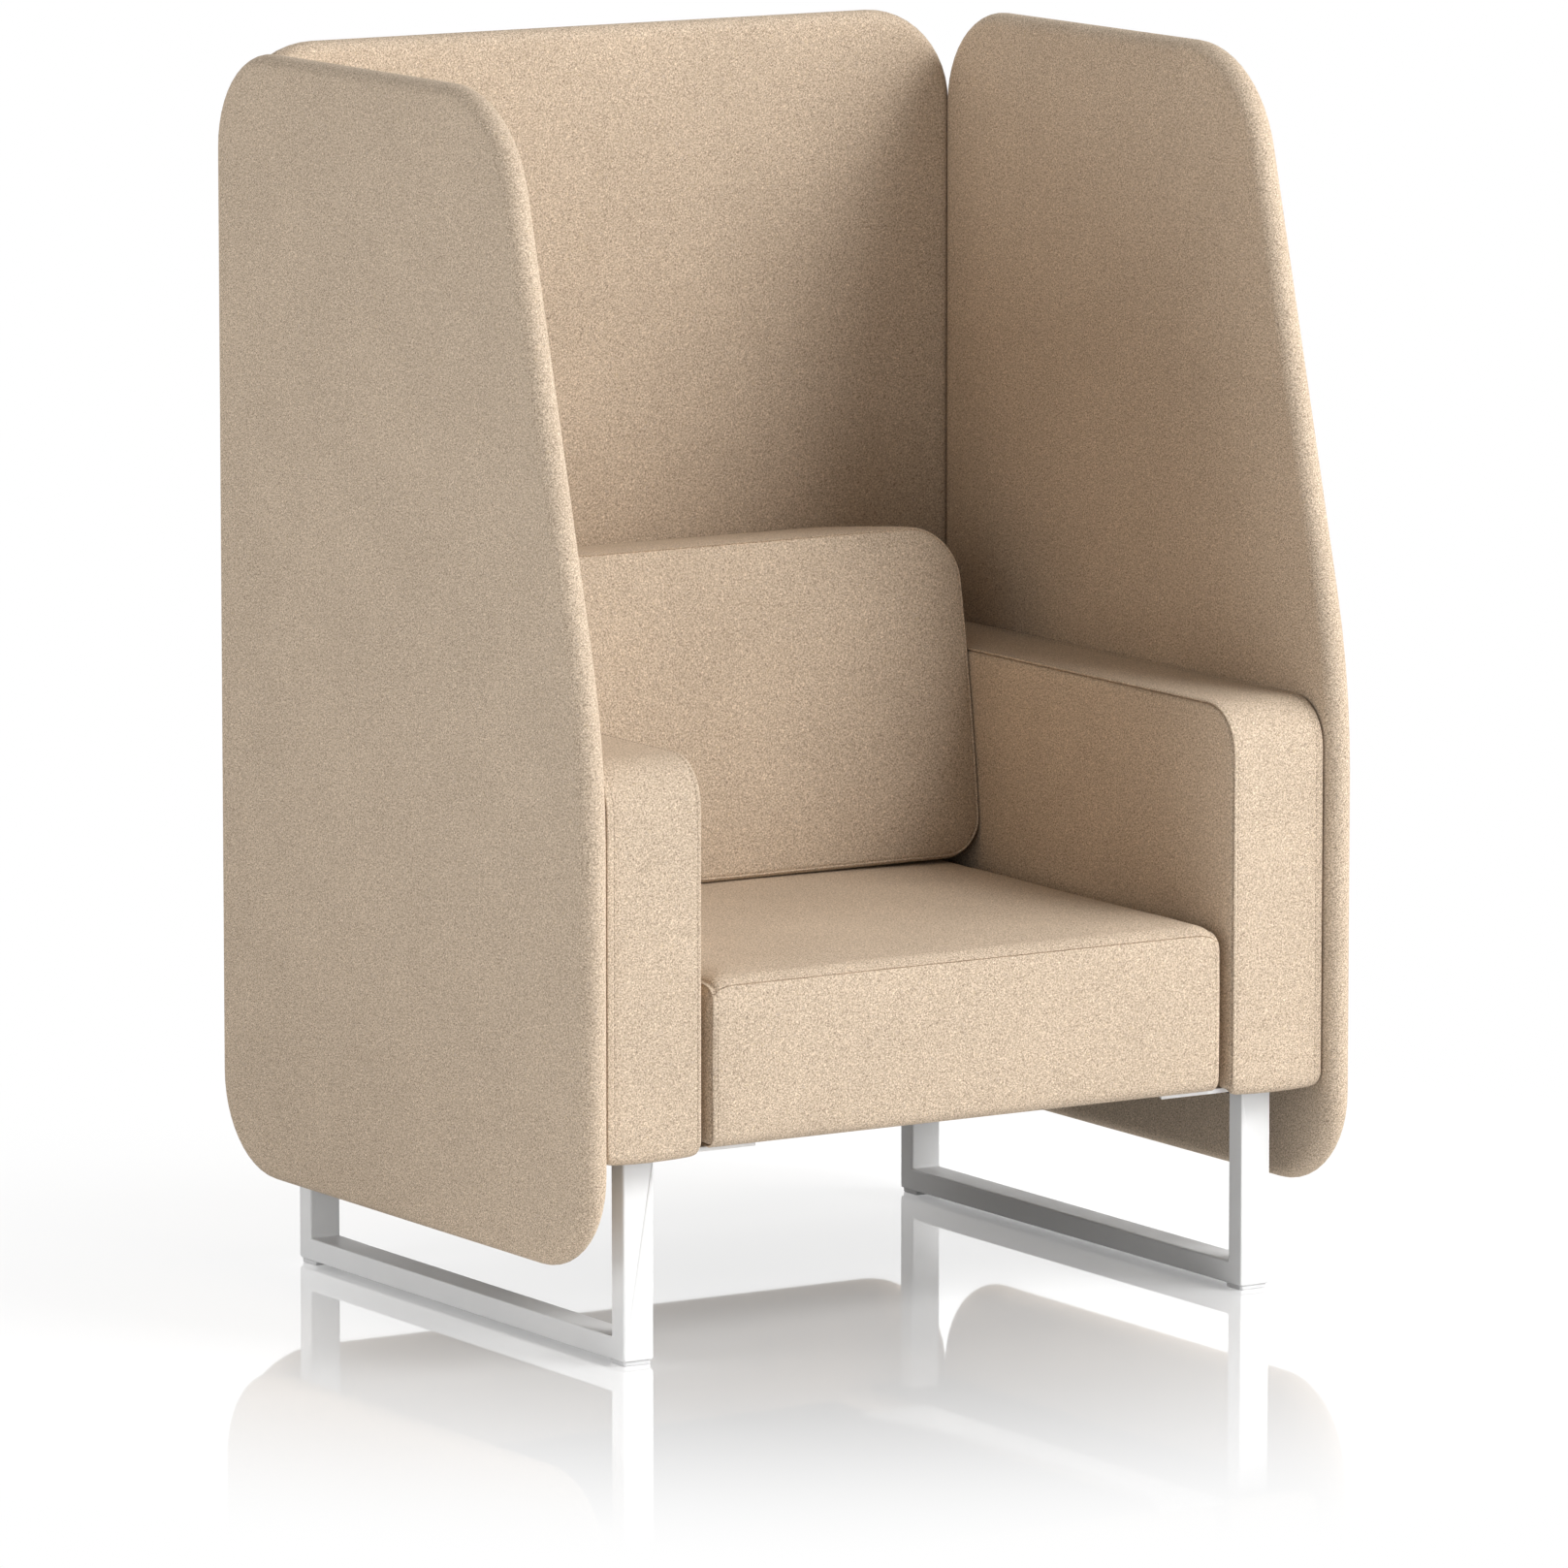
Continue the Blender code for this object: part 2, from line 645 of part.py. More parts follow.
def arm_corners():
    return [
        (ARM_FRONT, ARM_BOTTOM, ARM_TOE_CORNER, SMALL_CORNER_STEPS),
        (ARM_REAR, ARM_BOTTOM, ARM_REAR_CORNER, SMALL_CORNER_STEPS),
        (ARM_REAR, ARM_TOP, ARM_REAR_CORNER, SMALL_CORNER_STEPS),
        (ARM_FRONT, ARM_TOP, ARM_FRONT_CORNER, CORNER_STEPS),
    ]


def arm_shape(side):
    """Arm form with its flat face against the screen and its crowned face towards the seat."""
    reach = (ARM_TOP - ARM_BOTTOM) * CROWN_SHARE

    def place(u, v, h):
        return (side * (ARM_OUTER - h), u, v)

    def shape(shrink):
        profile = padded_profile(0.0, ARM_WIDTH, ARM_EDGE, ARM_EDGE, ARM_CROWN, reach, shrink)
        return layered(arm_corners(), profile, place, least=ARM_EDGE)

    return shape


def build_arm(side, label, materials):
    shape, place = arm_shape(side), sideways(side)
    screws = [*side_screws(side), back_screw(side)]

    frame = add_solid(
        label + "_arm_frame",
        block(place, FRAME_FRONT, FRAME_REAR, FRAME_LOW, FRAME_HIGH, FRAME_IN, FRAME_OUT),
        materials["wood"],
    )
    cavity = (CAVITY_FRONT, CAVITY_REAR, FRAME_LOW + ARM_MEMBER, FRAME_HIGH - ARM_MEMBER)
    subtract(frame, block(place, *cavity, FRAME_IN - OVERRUN, PANEL_IN))
    subtract(frame, *plate_screw_holes(side, "arm"))

    foam = add_solid(label + "_arm_foam", shape(LINING), materials["foam"])
    below = ARM_BOTTOM - OVERRUN
    frame_length = (FRAME_FRONT - GAP, FRAME_REAR + GAP)
    frame_pocket = (*frame_length, below, FRAME_HIGH + GAP, FRAME_IN - GAP, FRAME_OUT + GAP)
    underneath = (FRONT_Y, BACK_FACE_Y, below, FRAME_LOW, SEAT_SIDE, SIDE_SCREEN_X)
    subtract(foam, block(place, *frame_pocket), block(place, *underneath))

    cover = shell(label + "_arm_cover", shape, materials["fabric"])
    rim = ARM_EDGE + GAP
    front, rear = ARM_FRONT + ARM_TOE_CORNER, ARM_REAR - ARM_REAR_CORNER
    inner, outer = ARM_INNER + rim, ARM_OUTER - rim
    subtract(cover, block(place, front, rear, below, ARM_BOTTOM + CLOTH + OVERRUN, inner, outer))
    notch_ends = (LEG_FRONT - PLATE_NOSE - GAP, LEG_REAR + PLATE_LAP - TAB_REAR_SETBACK + GAP)
    subtract(cover, block(place, *notch_ends, below, FRAME_LOW, SEAT_SIDE, inner + OVERRUN))

    heights = (ARM_BOTTOM, ARM_BOTTOM + BASE_CLOTH)
    sheet = block(place, front + GAP, rear - GAP, *heights, inner + GAP, outer - GAP)
    base = add_solid(label + "_arm_base_cloth", sheet, materials["black_cloth"])
    for leg_front in (LEG_FRONT, LEG_REAR - TUBE_DEPTH):
        leg_length = (leg_front - GAP, leg_front + TUBE_DEPTH + GAP)
        subtract(base, block(place, *leg_length, below, PLATE_LOW, LEG_IN - GAP, LEG_OUT + GAP))

    for piece in (frame, foam, cover):
        subtract(piece, *(hole(*screw) for screw in screws))
    fixings = []
    for where, screw in zip(("front", "rear", "back"), screws):
        name = f"{label}_{where}_screen_screw"
        head = (SCREEN_SCREW_HEAD, SCREEN_SCREW_HEAD_DEPTH)
        fixings.append(headed_screw(name, screw, *head, materials["steel"]))
    return [frame, foam, cover, base, *fixings]


# Seat


def seat_shape(shrink):
    corners = box_corners(-SEAT_SIDE, SEAT_SIDE, SEAT_FRONT, SEAT_REAR, SEAT_CORNER, SMALL_CORNER_STEPS)
    heights, edges = (SEAT_BOTTOM, SEAT_EDGE_TOP), (SEAT_LOW_EDGE, SEAT_TOP_EDGE)
    profile = padded_profile(*heights, *edges, SEAT_CROWN, SEAT_WIDTH * CROWN_SHARE, shrink)
    return layered(corners, profile, upright, least=SEAT_CORNER / 2, side_steps=SIDE_STEPS, draw=SEAT_DRAW)


def build_seat(materials):
    timber = materials["wood"]
    side_front, side_rear = RAIL_FRONT + RAIL_THICK + GAP, RAIL_REAR - RAIL_THICK - GAP
    heights = (RAIL_LOW, RAIL_HIGH)
    front_rail = block(upright, -RAIL_OUT, RAIL_OUT, RAIL_FRONT, RAIL_FRONT + RAIL_THICK, *heights)
    rear_rail = block(upright, -RAIL_OUT, RAIL_OUT, RAIL_REAR - RAIL_THICK, RAIL_REAR, *heights)
    pieces = [
        add_solid("seat_front_rail", front_rail, timber),
        add_solid("seat_rear_rail", rear_rail, timber),
    ]
    for side, label in SIDES:
        rail = block(mirrored(side), RAIL_IN, RAIL_OUT, side_front, side_rear, *heights)
        pieces.append(add_solid(f"seat_{label}_rail", rail, timber))
        subtract(pieces[-1], *plate_screw_holes(side, "seat"))

    web = block(upright, -RAIL_OUT, RAIL_OUT, RAIL_FRONT, RAIL_REAR, RAIL_HIGH + GAP, WEB_HIGH)
    foam = add_solid("seat_foam", seat_shape(LINING), materials["foam"])
    inside = (-RAIL_OUT - GAP, RAIL_OUT + GAP, RAIL_FRONT - GAP, RAIL_REAR + GAP)
    subtract(foam, block(upright, *inside, SEAT_BOTTOM - OVERRUN, WEB_HIGH + GAP))

    cover = shell("seat_cover", seat_shape, materials["fabric"])
    half, front, rear = SEAT_SIDE - SEAT_FLANGE, SEAT_FRONT + SEAT_FLANGE, SEAT_REAR - SEAT_FLANGE
    through = (SEAT_BOTTOM - OVERRUN, SEAT_BOTTOM + CLOTH + OVERRUN)
    subtract(cover, block(upright, -half, half, front, rear, *through))
    for side, _ in SIDES:
        subtract(cover, *plate_screw_holes(side, "seat"))
    dust = block(upright, GAP - half, half - GAP, front + GAP, rear - GAP, SEAT_BOTTOM, SEAT_BOTTOM + CLOTH)
    pieces += [
        add_solid("seat_suspension_web", web, materials["black_cloth"]),
        foam,
        cover,
        add_solid("seat_dust_cover", dust, materials["black_cloth"]),
    ]
    return pieces


# Back cushion and its hangers


def cushion_place(u, v, h):
    """Wedge: u across, v up the front panel, h forward from the rear face at the foot."""
    rise, forward = v / CUSHION_FRONT_HEIGHT, h / CUSHION_FOOT_DEPTH
    depth = CUSHION_FOOT_DEPTH + rise * (CUSHION_HEAD_DEPTH - CUSHION_FOOT_DEPTH)
    height = CUSHION_REAR_HEIGHT + forward * (CUSHION_FRONT_HEIGHT - CUSHION_REAR_HEIGHT)
    return (u, CUSHION_REAR - depth * forward, CUSHION_BOTTOM + height * rise)


def cushion_shape(shrink):
    half, high = CUSHION_HALF, CUSHION_FRONT_HEIGHT
    corners = [
        (-half, 0.0, CUSHION_FOOT_CORNER, CORNER_STEPS),
        (half, 0.0, CUSHION_FOOT_CORNER, CORNER_STEPS),
        (half, high, CUSHION_TOP_CORNER, CORNER_STEPS),
        (-half, high, CUSHION_TOP_CORNER, CORNER_STEPS),
    ]
    edges = (CUSHION_REAR_EDGE, CUSHION_FRONT_EDGE)
    profile = padded_profile(0.0, CUSHION_FOOT_DEPTH, *edges, CUSHION_CROWN, high * CROWN_SHARE, shrink)
    least = CUSHION_FOOT_CORNER / 2
    return layered(corners, profile, cushion_place, least=least, side_steps=SIDE_STEPS, draw=CUSHION_DRAW)


def hanger_outline(on_screen):
    """Outline in y and z of one Z rail: a leg on its carrier, and a hook that stands off by one sheet."""
    if on_screen:
        flat, hook = (HANGER_MID, HANGER_BACK), (HANGER_FRONT, HANGER_NEAR)
        low, step, high = HANGER_LOW, HANGER_STEP, HANGER_HOOK
        return [
            (flat[1], low),
            (flat[1], step + HANGER_SHEET),
            (hook[1], step + HANGER_SHEET),
            (hook[1], high),
            (hook[0], high),
            (hook[0], step),
            (flat[0], step),
            (flat[0], low),
        ]
    hook, flat = (HANGER_MID, HANGER_BACK), (HANGER_FRONT, HANGER_NEAR)
    low, step, high = HANGER_STEP + HANGER_SHEET + GAP, HANGER_HOOK + GAP, HANGER_HIGH
    return [
        (hook[1], low),
        (hook[1], step + HANGER_SHEET),
        (flat[1], step + HANGER_SHEET),
        (flat[1], high),
        (flat[0], high),
        (flat[0], step),
        (hook[0], step),
        (hook[0], low),
    ]


def build_hanger(name, on_screen, materials):
    half = HANGER_LENGTH / 2
    solid = prism(hanger_outline(on_screen), sideways(1), -half, half)
    rail = add_solid(name + "_hanger_rail", solid, materials["steel"])
    pieces = [rail]
    for (_, label), screw in zip(SIDES, hanger_screws(on_screen)):
        subtract(rail, hole(*screw))
        title = f"{name}_hanger_{label}_screw"
        pieces.append(headed_screw(title, screw, HANGER_SCREW_HEAD, HANGER_SHEET - GAP, materials["steel"]))
    return pieces


def build_cushion(materials):
    half = CUSHION_HALF - CUSHION_BOARD_MARGIN
    low = CUSHION_BOTTOM + CUSHION_BOARD_MARGIN
    high = CUSHION_BOTTOM + CUSHION_REAR_HEIGHT - CUSHION_BOARD_MARGIN
    board_front = BOARD_REAR - CUSHION_BOARD
    panel = block(upright, -half, half, board_front, BOARD_REAR, low, high)
    board = add_solid("cushion_board", panel, materials["wood"])
    subtract(board, *(hole(*screw) for screw in hanger_screws(False)))

    foam = add_solid("cushion_foam", cushion_shape(LINING), materials["foam"])
    pocket = (-half - GAP, half + GAP, board_front - GAP, BACK_FACE_Y, low - GAP, high + GAP)
    subtract(foam, block(upright, *pocket))

    cover = shell("cushion_cover", cushion_shape, materials["fabric"])
    wide = HANGER_LENGTH / 2 + HANGER_WINDOW
    window_heights = (HANGER_LOW - HANGER_WINDOW, HANGER_HIGH + HANGER_WINDOW)
    subtract(cover, block(upright, -wide, wide, CUSHION_REAR - CLOTH - OVERRUN, BACK_FACE_Y, *window_heights))
    return [board, foam, cover]


# The whole seat


def make_materials():
    return {
        "fabric": make_material("oatmeal_felt", (0.60, 0.47, 0.36), 0.95),
        "foam": make_material("upholstery_foam", (0.82, 0.78, 0.66), 0.95),
        "wood": make_material("frame_timber", (0.62, 0.46, 0.29), 0.7),
        "white_metal": make_material("white_powder_coat", (0.86, 0.86, 0.85), 0.4),
        "steel": make_material("zinc_plated_steel", (0.55, 0.55, 0.56), 0.35, 1.0),
        "glide": make_material("clear_grey_nylon", (0.72, 0.72, 0.72), 0.5),
        "black_cloth": make_material("black_base_cloth", (0.03, 0.03, 0.03), 0.9),
    }


def build():
    for item in list(bpy.data.objects):
        bpy.data.objects.remove(item, do_unlink=True)
    materials = make_materials()
    for side, label in SIDES:
        place = sideways(side, SIDE_SCREEN_X)
        screen = build_screen(label + "_screen", side_screen_corners(), place, side_screws(side), materials)
        gather(label + "_screen", (side * SIDE_SCREEN_X, 0, SCREEN_BOTTOM), screen)
        gather(label + "_arm", (side * ARM_INNER, 0, ARM_BOTTOM), build_arm(side, label, materials))
        gather(label + "_sled", (side * LEG_X, 0, 0), build_sled(side, label, materials))
        gather(label + "_link", (side * LEG_X, 0, PLATE_LOW), build_link_plate(side, label, materials))
    corners = box_corners(-BACK_HALF, BACK_HALF, SCREEN_BOTTOM, SCREEN_TOP, SCREEN_CORNER)
    back_holes = [*(back_screw(side) for side, _ in SIDES), *hanger_screws(True)]
    back = build_screen("back_screen", corners, back_place, back_holes, materials)
    back += build_hanger("screen", True, materials)
    gather("back", (0, BACK_SCREEN_Y, SCREEN_BOTTOM), back)
    gather("seat", (0, 0, SEAT_BOTTOM), build_seat(materials))
    cushion = build_cushion(materials) + build_hanger("cushion", False, materials)
    gather("back_cushion", (0, CUSHION_REAR, CUSHION_BOTTOM), cushion)


build()
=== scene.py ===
"""Looks of the lounge seat with privacy screens: upholstery, stitching, finishes, floor, light, camera.

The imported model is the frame. Units are metres, +Z is up and the seat faces -Y.
"""

import json
import math

import bmesh
import bpy
import numpy as np
from mathutils import Matrix, Vector
from mathutils.bvhtree import BVHTree


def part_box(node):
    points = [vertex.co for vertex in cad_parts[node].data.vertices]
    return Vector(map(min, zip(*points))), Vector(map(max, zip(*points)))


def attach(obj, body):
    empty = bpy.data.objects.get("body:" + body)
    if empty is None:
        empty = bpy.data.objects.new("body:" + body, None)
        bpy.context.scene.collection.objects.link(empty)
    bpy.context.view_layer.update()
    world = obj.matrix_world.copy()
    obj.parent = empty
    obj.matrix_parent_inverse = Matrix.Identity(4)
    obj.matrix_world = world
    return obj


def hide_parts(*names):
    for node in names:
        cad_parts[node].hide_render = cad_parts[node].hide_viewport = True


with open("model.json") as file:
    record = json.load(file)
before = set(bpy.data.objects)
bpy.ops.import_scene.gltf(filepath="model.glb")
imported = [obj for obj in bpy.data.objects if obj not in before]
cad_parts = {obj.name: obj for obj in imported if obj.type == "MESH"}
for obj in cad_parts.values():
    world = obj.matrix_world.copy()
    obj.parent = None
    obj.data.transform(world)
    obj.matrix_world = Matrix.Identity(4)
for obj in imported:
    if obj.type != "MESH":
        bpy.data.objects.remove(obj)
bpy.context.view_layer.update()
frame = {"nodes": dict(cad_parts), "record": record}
BODY = "root"
SIDES = ((-1, "left"), (1, "right"))

# Ways that a cover's two end panels face, and the top front corner's place in the seat's outline
WAYS = (-1, 1)
TOP_FRONT = 3

# Camera that took the picture, with its lens and sensor in millimetres
CAMERA_PLACE = (-7.0025, -11.23855, 2.600)
CAMERA_AIM = (0.52307, 0.83847, -0.15286)
CAMERA_LENS = 277.7
CAMERA_SENSOR = 36.0
CAMERA_REACH = 100.0

# Mesh steps: lengths along the covers, and counts round their corners
STEP = 0.0095
SEAT_STEP = 0.0125
SCREEN_STEP = 0.014
NOSE_STEPS = 18
WIDE_CORNER_STEPS = 12
SMALL_CORNER_STEPS = 6
KNEE_STEPS = 5
REAR_EDGE_STEPS = 4

# Least radius of a corner that is moved in
LEAST_RADIUS = 0.001

# Half way round a corner, or half way up
MIDDLE = 0.5

# Screens
SCREEN_CORNER = 0.110
TOP_SETBACK = 0.185
TOP_FRONT_CORNER = 0.145
KNEE_HEIGHT = 0.678
KNEE_RADIUS = 0.800
SCREEN_PUFF = 0.0002

# Arms
ARM_FRONT_CORNER = 0.052
ARM_TOE_CORNER = 0.014
ARM_REAR_CORNER = 0.012
ARM_PUFF = 0.0006

# Rows of stitches from the arm's outer and inner faces
ARM_OUTER_STITCH = 0.0110
ARM_INNER_STITCH = 0.0070

# Underside of the arm: a rim at both sides, and a hollow just clear of the link plate
ARM_RIM = 0.0050
NOTCH_LIFT = 0.00015

# Lower front edge of the arm: the rounding of its two ends, and the belly between them
TOE_ROUND = 0.007
TOE_SIDE = 0.003
TOE_REACH = 0.030
TOE_BELLY = 0.0035

# Seat
SEAT_CROWN = 0.006
SEAT_TOP_EDGE = 0.022
SEAT_LOW_EDGE = 0.016
SEAT_SIDE = 0.002
SEAT_STITCH = 0.0080
SEAT_PUFF = 0.0015
SEAT_RECESS = 0.0022

# Fall of the seat's top towards its side seams, by distance from the side
SEAT_SHOULDER = 0.009
SEAT_SHOULDER_START = 0.022
SEAT_SHOULDER_END = 0.007

# Sag of the seat's lower front edge, and bulge of its sides
SEAT_SAG = 0.0015
SEAT_SAG_REACH = 0.0165
SEAT_SAG_STEEPNESS = 4
SEAT_BARREL = 0.001
SEAT_BARREL_POWER = 6

# Front seam of the seat, and the fractions of its top front corner that get a point
FRONT_SEAM_DEPTH = 0.0040
SEAM_TURN = 0.667
SEAM_SIDE = 0.011
SEAM_TURNS = (SEAM_TURN - SEAM_SIDE, SEAM_TURN, SEAM_TURN + SEAM_SIDE)
LOW_TURNS = (0.0, 0.13, 0.26, 0.38)
HIGH_TURNS = (0.56, 0.61, 0.64, *SEAM_TURNS, 0.70, 0.74, 0.81, 0.90, 1.0)

# Back cushion
CUSHION_FOOT_DEPTH = 0.2745
CUSHION_HEAD_DEPTH = 0.2175
CUSHION_FRONT_HEIGHT = 0.374
CUSHION_REAR_HEIGHT = 0.348
CUSHION_TOP_CORNER = 0.064
CUSHION_FOOT_CORNER = 0.045
CUSHION_REAR_EDGE = 0.008
CUSHION_CROWN = 0.003
CUSHION_BOW = 0.005

# Most that the cushion's panels and its band are pressed out
CUSHION_PLUMP = 0.004
CUSHION_PUFF = 0.0025

# Lift of the cushion's seam at its foot
SEAM_LIFT = 0.003
SEAM_LIFT_BLEND = 0.005

# Sewn seams from band to panel: (how far in from the outline, how far behind the panel's face)
FLAT_SEAM = (
    (0.0000, 0.0051),
    (0.0000, 0.0037),
    (0.0004, 0.0026),
    (0.0012, 0.0020),
    (0.0020, 0.0024),
    (0.0024, 0.0039),
    (0.0027, 0.0060),
    (0.0031, 0.0060),
    (0.0034, 0.0036),
    (0.0040, 0.0022),
    (0.0052, 0.0012),
    (0.0080, 0.0005),
)
CUSHION_SEAM = (
    (0.0000, 0.0110),
    (0.0000, 0.0085),
    (0.0002, 0.0068),
    (0.0006, 0.0055),
    (0.0011, 0.0047),
    (0.0016, 0.0044),
    (0.0022, 0.0048),
    (0.0026, 0.0060),
    (0.0029, 0.0072),
    (0.0034, 0.0072),
    (0.0040, 0.0060),
    (0.0055, 0.0050),
    (0.0085, 0.0040),
)

# Rings of each seam that its thread holds, counted from the band
FLAT_PINS = range(3, 9)
CUSHION_PINS = range(5, 11)

# Distances over which a panel rises from its seam, and swells to its crown
PANEL_EDGE = 0.008
CUSHION_EDGE = 0.014
PANEL_REACH = 0.060

# Cloth simulation
PRESSURE = 4.0
SIM_FRAMES = 20
LEAST_TRAVEL = 1e-9

# Stitching
STITCH_CHANNEL = 0.0006
STITCH_SIDE = 0.0013
STITCH_LENGTH = 0.0040
STITCH_GAP = 0.0022

# Thread of one stitch: (part of its length, thickness there), and how deep it lies in radii
THREAD_RADIUS = 0.00036
THREAD_SIDES = 6
THREAD_PROFILE = ((0.0, 0.35), (0.18, 0.9), (0.5, 1.0), (0.82, 0.9), (1.0, 0.35))
THREAD_DIP = 1.4

# Sheets
SHEET_STEP = 0.03
SHEET_SAG = 0.0012
SHEET_THICKNESS = 0.0008
LEG_DEPTH = 0.025
LEG_CLEARANCE = 0.001

# Colours
FELT_DARK = (0.200, 0.150, 0.107)
FELT_SHADE = (0.470, 0.367, 0.270)
FELT_BODY = (0.660, 0.530, 0.400)
FELT_LIGHT = (0.930, 0.790, 0.625)
FELT_OCHRE = (0.64, 0.50, 0.31)
FELT_COOL = (0.50, 0.42, 0.37)
FELT_NAP = (0.95, 0.86, 0.74)
# Thread: the felt's own beige painted darker, as painted shade of the stitch holes; dark to light is its
# twist
THREAD_SHADED_DARK = (0.27, 0.21, 0.15)
THREAD_SHADED_LIGHT = (0.40, 0.31, 0.22)
CLOTH_BOND = (0.05, 0.05, 0.05)
COAT_DARK = (0.810, 0.812, 0.812)
COAT_LIGHT = (0.832, 0.832, 0.829)
ZINC_DARK = (0.50, 0.51, 0.53)
ZINC_LIGHT = (0.63, 0.63, 0.62)
TIMBER_DARK = (0.48, 0.32, 0.18)
TIMBER_BODY = (0.62, 0.45, 0.28)
TIMBER_LIGHT = (0.72, 0.56, 0.38)
FLOOR_TONE = (0.86, 0.86, 0.86)
WHITE = (1.0, 1.0, 1.0)

# Turn of the felt's noise in radians, and the shares of grain and fibre in its marl
NOISE_TURN = (0.5, 0.7, 0.3)
GRAIN_SHARE = 0.6
FIBRE_SHARE = 0.4

# Stage
FLOOR_SIZE = 30.0
FLOOR_GLOW = 0.20
FLOOR_NEAR = 0.35
FLOOR_FAR = 1.5
AMBIENT = 0.16

# Soft lights: name, azimuth and elevation in degrees, watts
LAMPS = (
    ("key", 31, 37, 610),
    ("key_side", 58, 30, 260),
    ("key_low", 58, 8, 260),
    ("front_low", 22, 8, 170),
    ("left_fill", -90, 12, 300),
    ("left_front", -50, 10, 80),
    ("rear_fill", 180, 25, 240),
)
LAMP_SIZE = 4.0
LAMP_DISTANCE = 10.0
LAMP_TARGET = (0.0, 0.0, 0.7)


# Numbers


def even(count):
    """Fractions from 0 to 1 in equal steps."""
    return [k / count for k in range(count + 1)]


def arch(part):
    """1 half way along and 0 at both ends."""
    return 4 * part * (1 - part)


def share(value):
    """The value, held between 0 and 1."""
    return min(1.0, max(0.0, value))


def steps_along(length, step):
    """Number of steps along a length, two or more."""
    return max(2, round(length / step))


def between(start, end, step):
    """Heights of the band's rings strictly between two heights."""
    count = steps_along(abs(end - start), step)
    return [start + (end - start) * k / count for k in range(1, count)]


def by_low_front(u, v, low, reach):
    """1 at the lower front edge of a box, falling to 0 over a reach behind it and above it."""
    return share(1 - (u - low.y) / reach) * share(1 - (v - low.z) / reach)


# Scene objects


def link(name, data):
    """New object in the scene."""
    item = bpy.data.objects.new(name, data)
    bpy.context.scene.collection.objects.link(item)
    return item


def to_piece(name, bm):
    """Smooth shaded piece made of a bmesh, which is freed."""
    mesh = bpy.data.meshes.new(name)
    bm.to_mesh(mesh)
    bm.free()
    mesh.shade_smooth()
    return link(name, mesh)


def coordinates(mesh):
    """Places of a mesh's vertices, one row each."""
    flat = np.empty(len(mesh.vertices) * 3)
    mesh.vertices.foreach_get("co", flat)
    return flat.reshape(-1, 3)


def move_to(mesh, points):
    """Put a mesh's vertices at new places."""
    mesh.vertices.foreach_set("co", points.ravel())
    mesh.update()


def smooth(piece):
    """One level of subdivision, alike in the view and the render."""
    modifier = piece.modifiers.new("smooth", "SUBSURF")
    modifier.levels = 1
    modifier.render_levels = 1


def mirrored_copy(piece, name):
    """The same piece on the other side."""
    mesh = piece.data.copy()
    mesh.transform(Matrix.Scale(-1, 4, (1, 0, 0)))
    mesh.flip_normals()
    mesh.name = name
    copy = link(name, mesh)
    if any(modifier.type == "SUBSURF" for modifier in piece.modifiers):
        smooth(copy)
    return copy


# Outlines


def trace(corners, runs, inset=0.0):
    """Points round a convex counter-clockwise outline that is moved in by inset.

    A corner is (u, v, radius, fractions of its turn that get a point), and runs[i] is the number of steps
    along the straight side after corner i.
    """
    tips = [Vector(corner[:2]) for corner in corners]
    count = len(tips)
    along = [(tips[(i + 1) % count] - tips[i]).normalized() for i in range(count)]
    inward = [Vector((-way.y, way.x)) for way in along]
    arcs = []
    for i, (_, _, size, fractions) in enumerate(corners):
        before, after = along[i - 1], along[i]
        turn = math.atan2(before.x * after.y - before.y * after.x, before.dot(after))
        tip = tips[i] + (inward[i - 1] + inward[i]) * inset / (1 + inward[i - 1].dot(inward[i]))
        radius = max(size - inset, LEAST_RADIUS)
        centre = tip - before * radius * math.tan(turn / 2) + inward[i - 1] * radius
        spoke = -inward[i - 1] * radius
        arcs.append([centre + Matrix.Rotation(turn * part, 2) @ spoke for part in fractions])
    points = []
    for i, arc in enumerate(arcs):
        points += arc
        start, end = arc[-1], arcs[(i + 1) % count][0]
        points += [start.lerp(end, k / runs[i]) for k in range(1, runs[i])]
    return np.array([tuple(point) for point in points])


def corner_marks(corners, runs):
    """Index of the middle point of each corner that has one."""
    marks, at = [], 0
    for (_, _, _, fractions), run in zip(corners, runs):
        if MIDDLE in fractions:
            marks.append(at + fractions.index(MIDDLE))
        at += len(fractions) + run - 1
    return marks


def column_of(corners, runs, corner, turn):
    """Index of the point at one fraction of one corner's turn."""
    before = sum(len(corners[i][3]) + runs[i] - 1 for i in range(corner))
    return before + corners[corner][3].index(turn)


def panel_grid(points, marks):
    """Indices of an outline's four sides between its marks, and the points of a grid that fills it."""
    a, b, c, d = marks
    total = len(points)
    bottom = np.arange(a, b + 1)
    right = np.arange(b, c + 1)
    top = np.arange(c, d + 1)[::-1]
    left = (np.arange(d, a + total + 1) % total)[::-1]
    s = np.linspace(0, 1, len(bottom))[None, :, None]
    t = np.linspace(0, 1, len(left))[:, None, None]
    low, high = points[bottom][None], points[top][None]
    near, far = points[left][:, None], points[right][:, None]
    ruled = (1 - t) * low + t * high + (1 - s) * near + s * far
    corners = (1 - s) * (1 - t) * points[a] + s * (1 - t) * points[b]
    corners = corners + s * t * points[c] + (1 - s) * t * points[d]
    return (bottom, right, top, left), ruled - corners


def edge_distance(grid, points):
    """Distance of each grid point from the outline."""
    flat = grid.reshape(-1, 2)
    gaps = np.linalg.norm(flat[:, None, :] - points[None, :, :], axis=2).min(axis=1)
    return gaps.reshape(grid.shape[:2])


# Covers


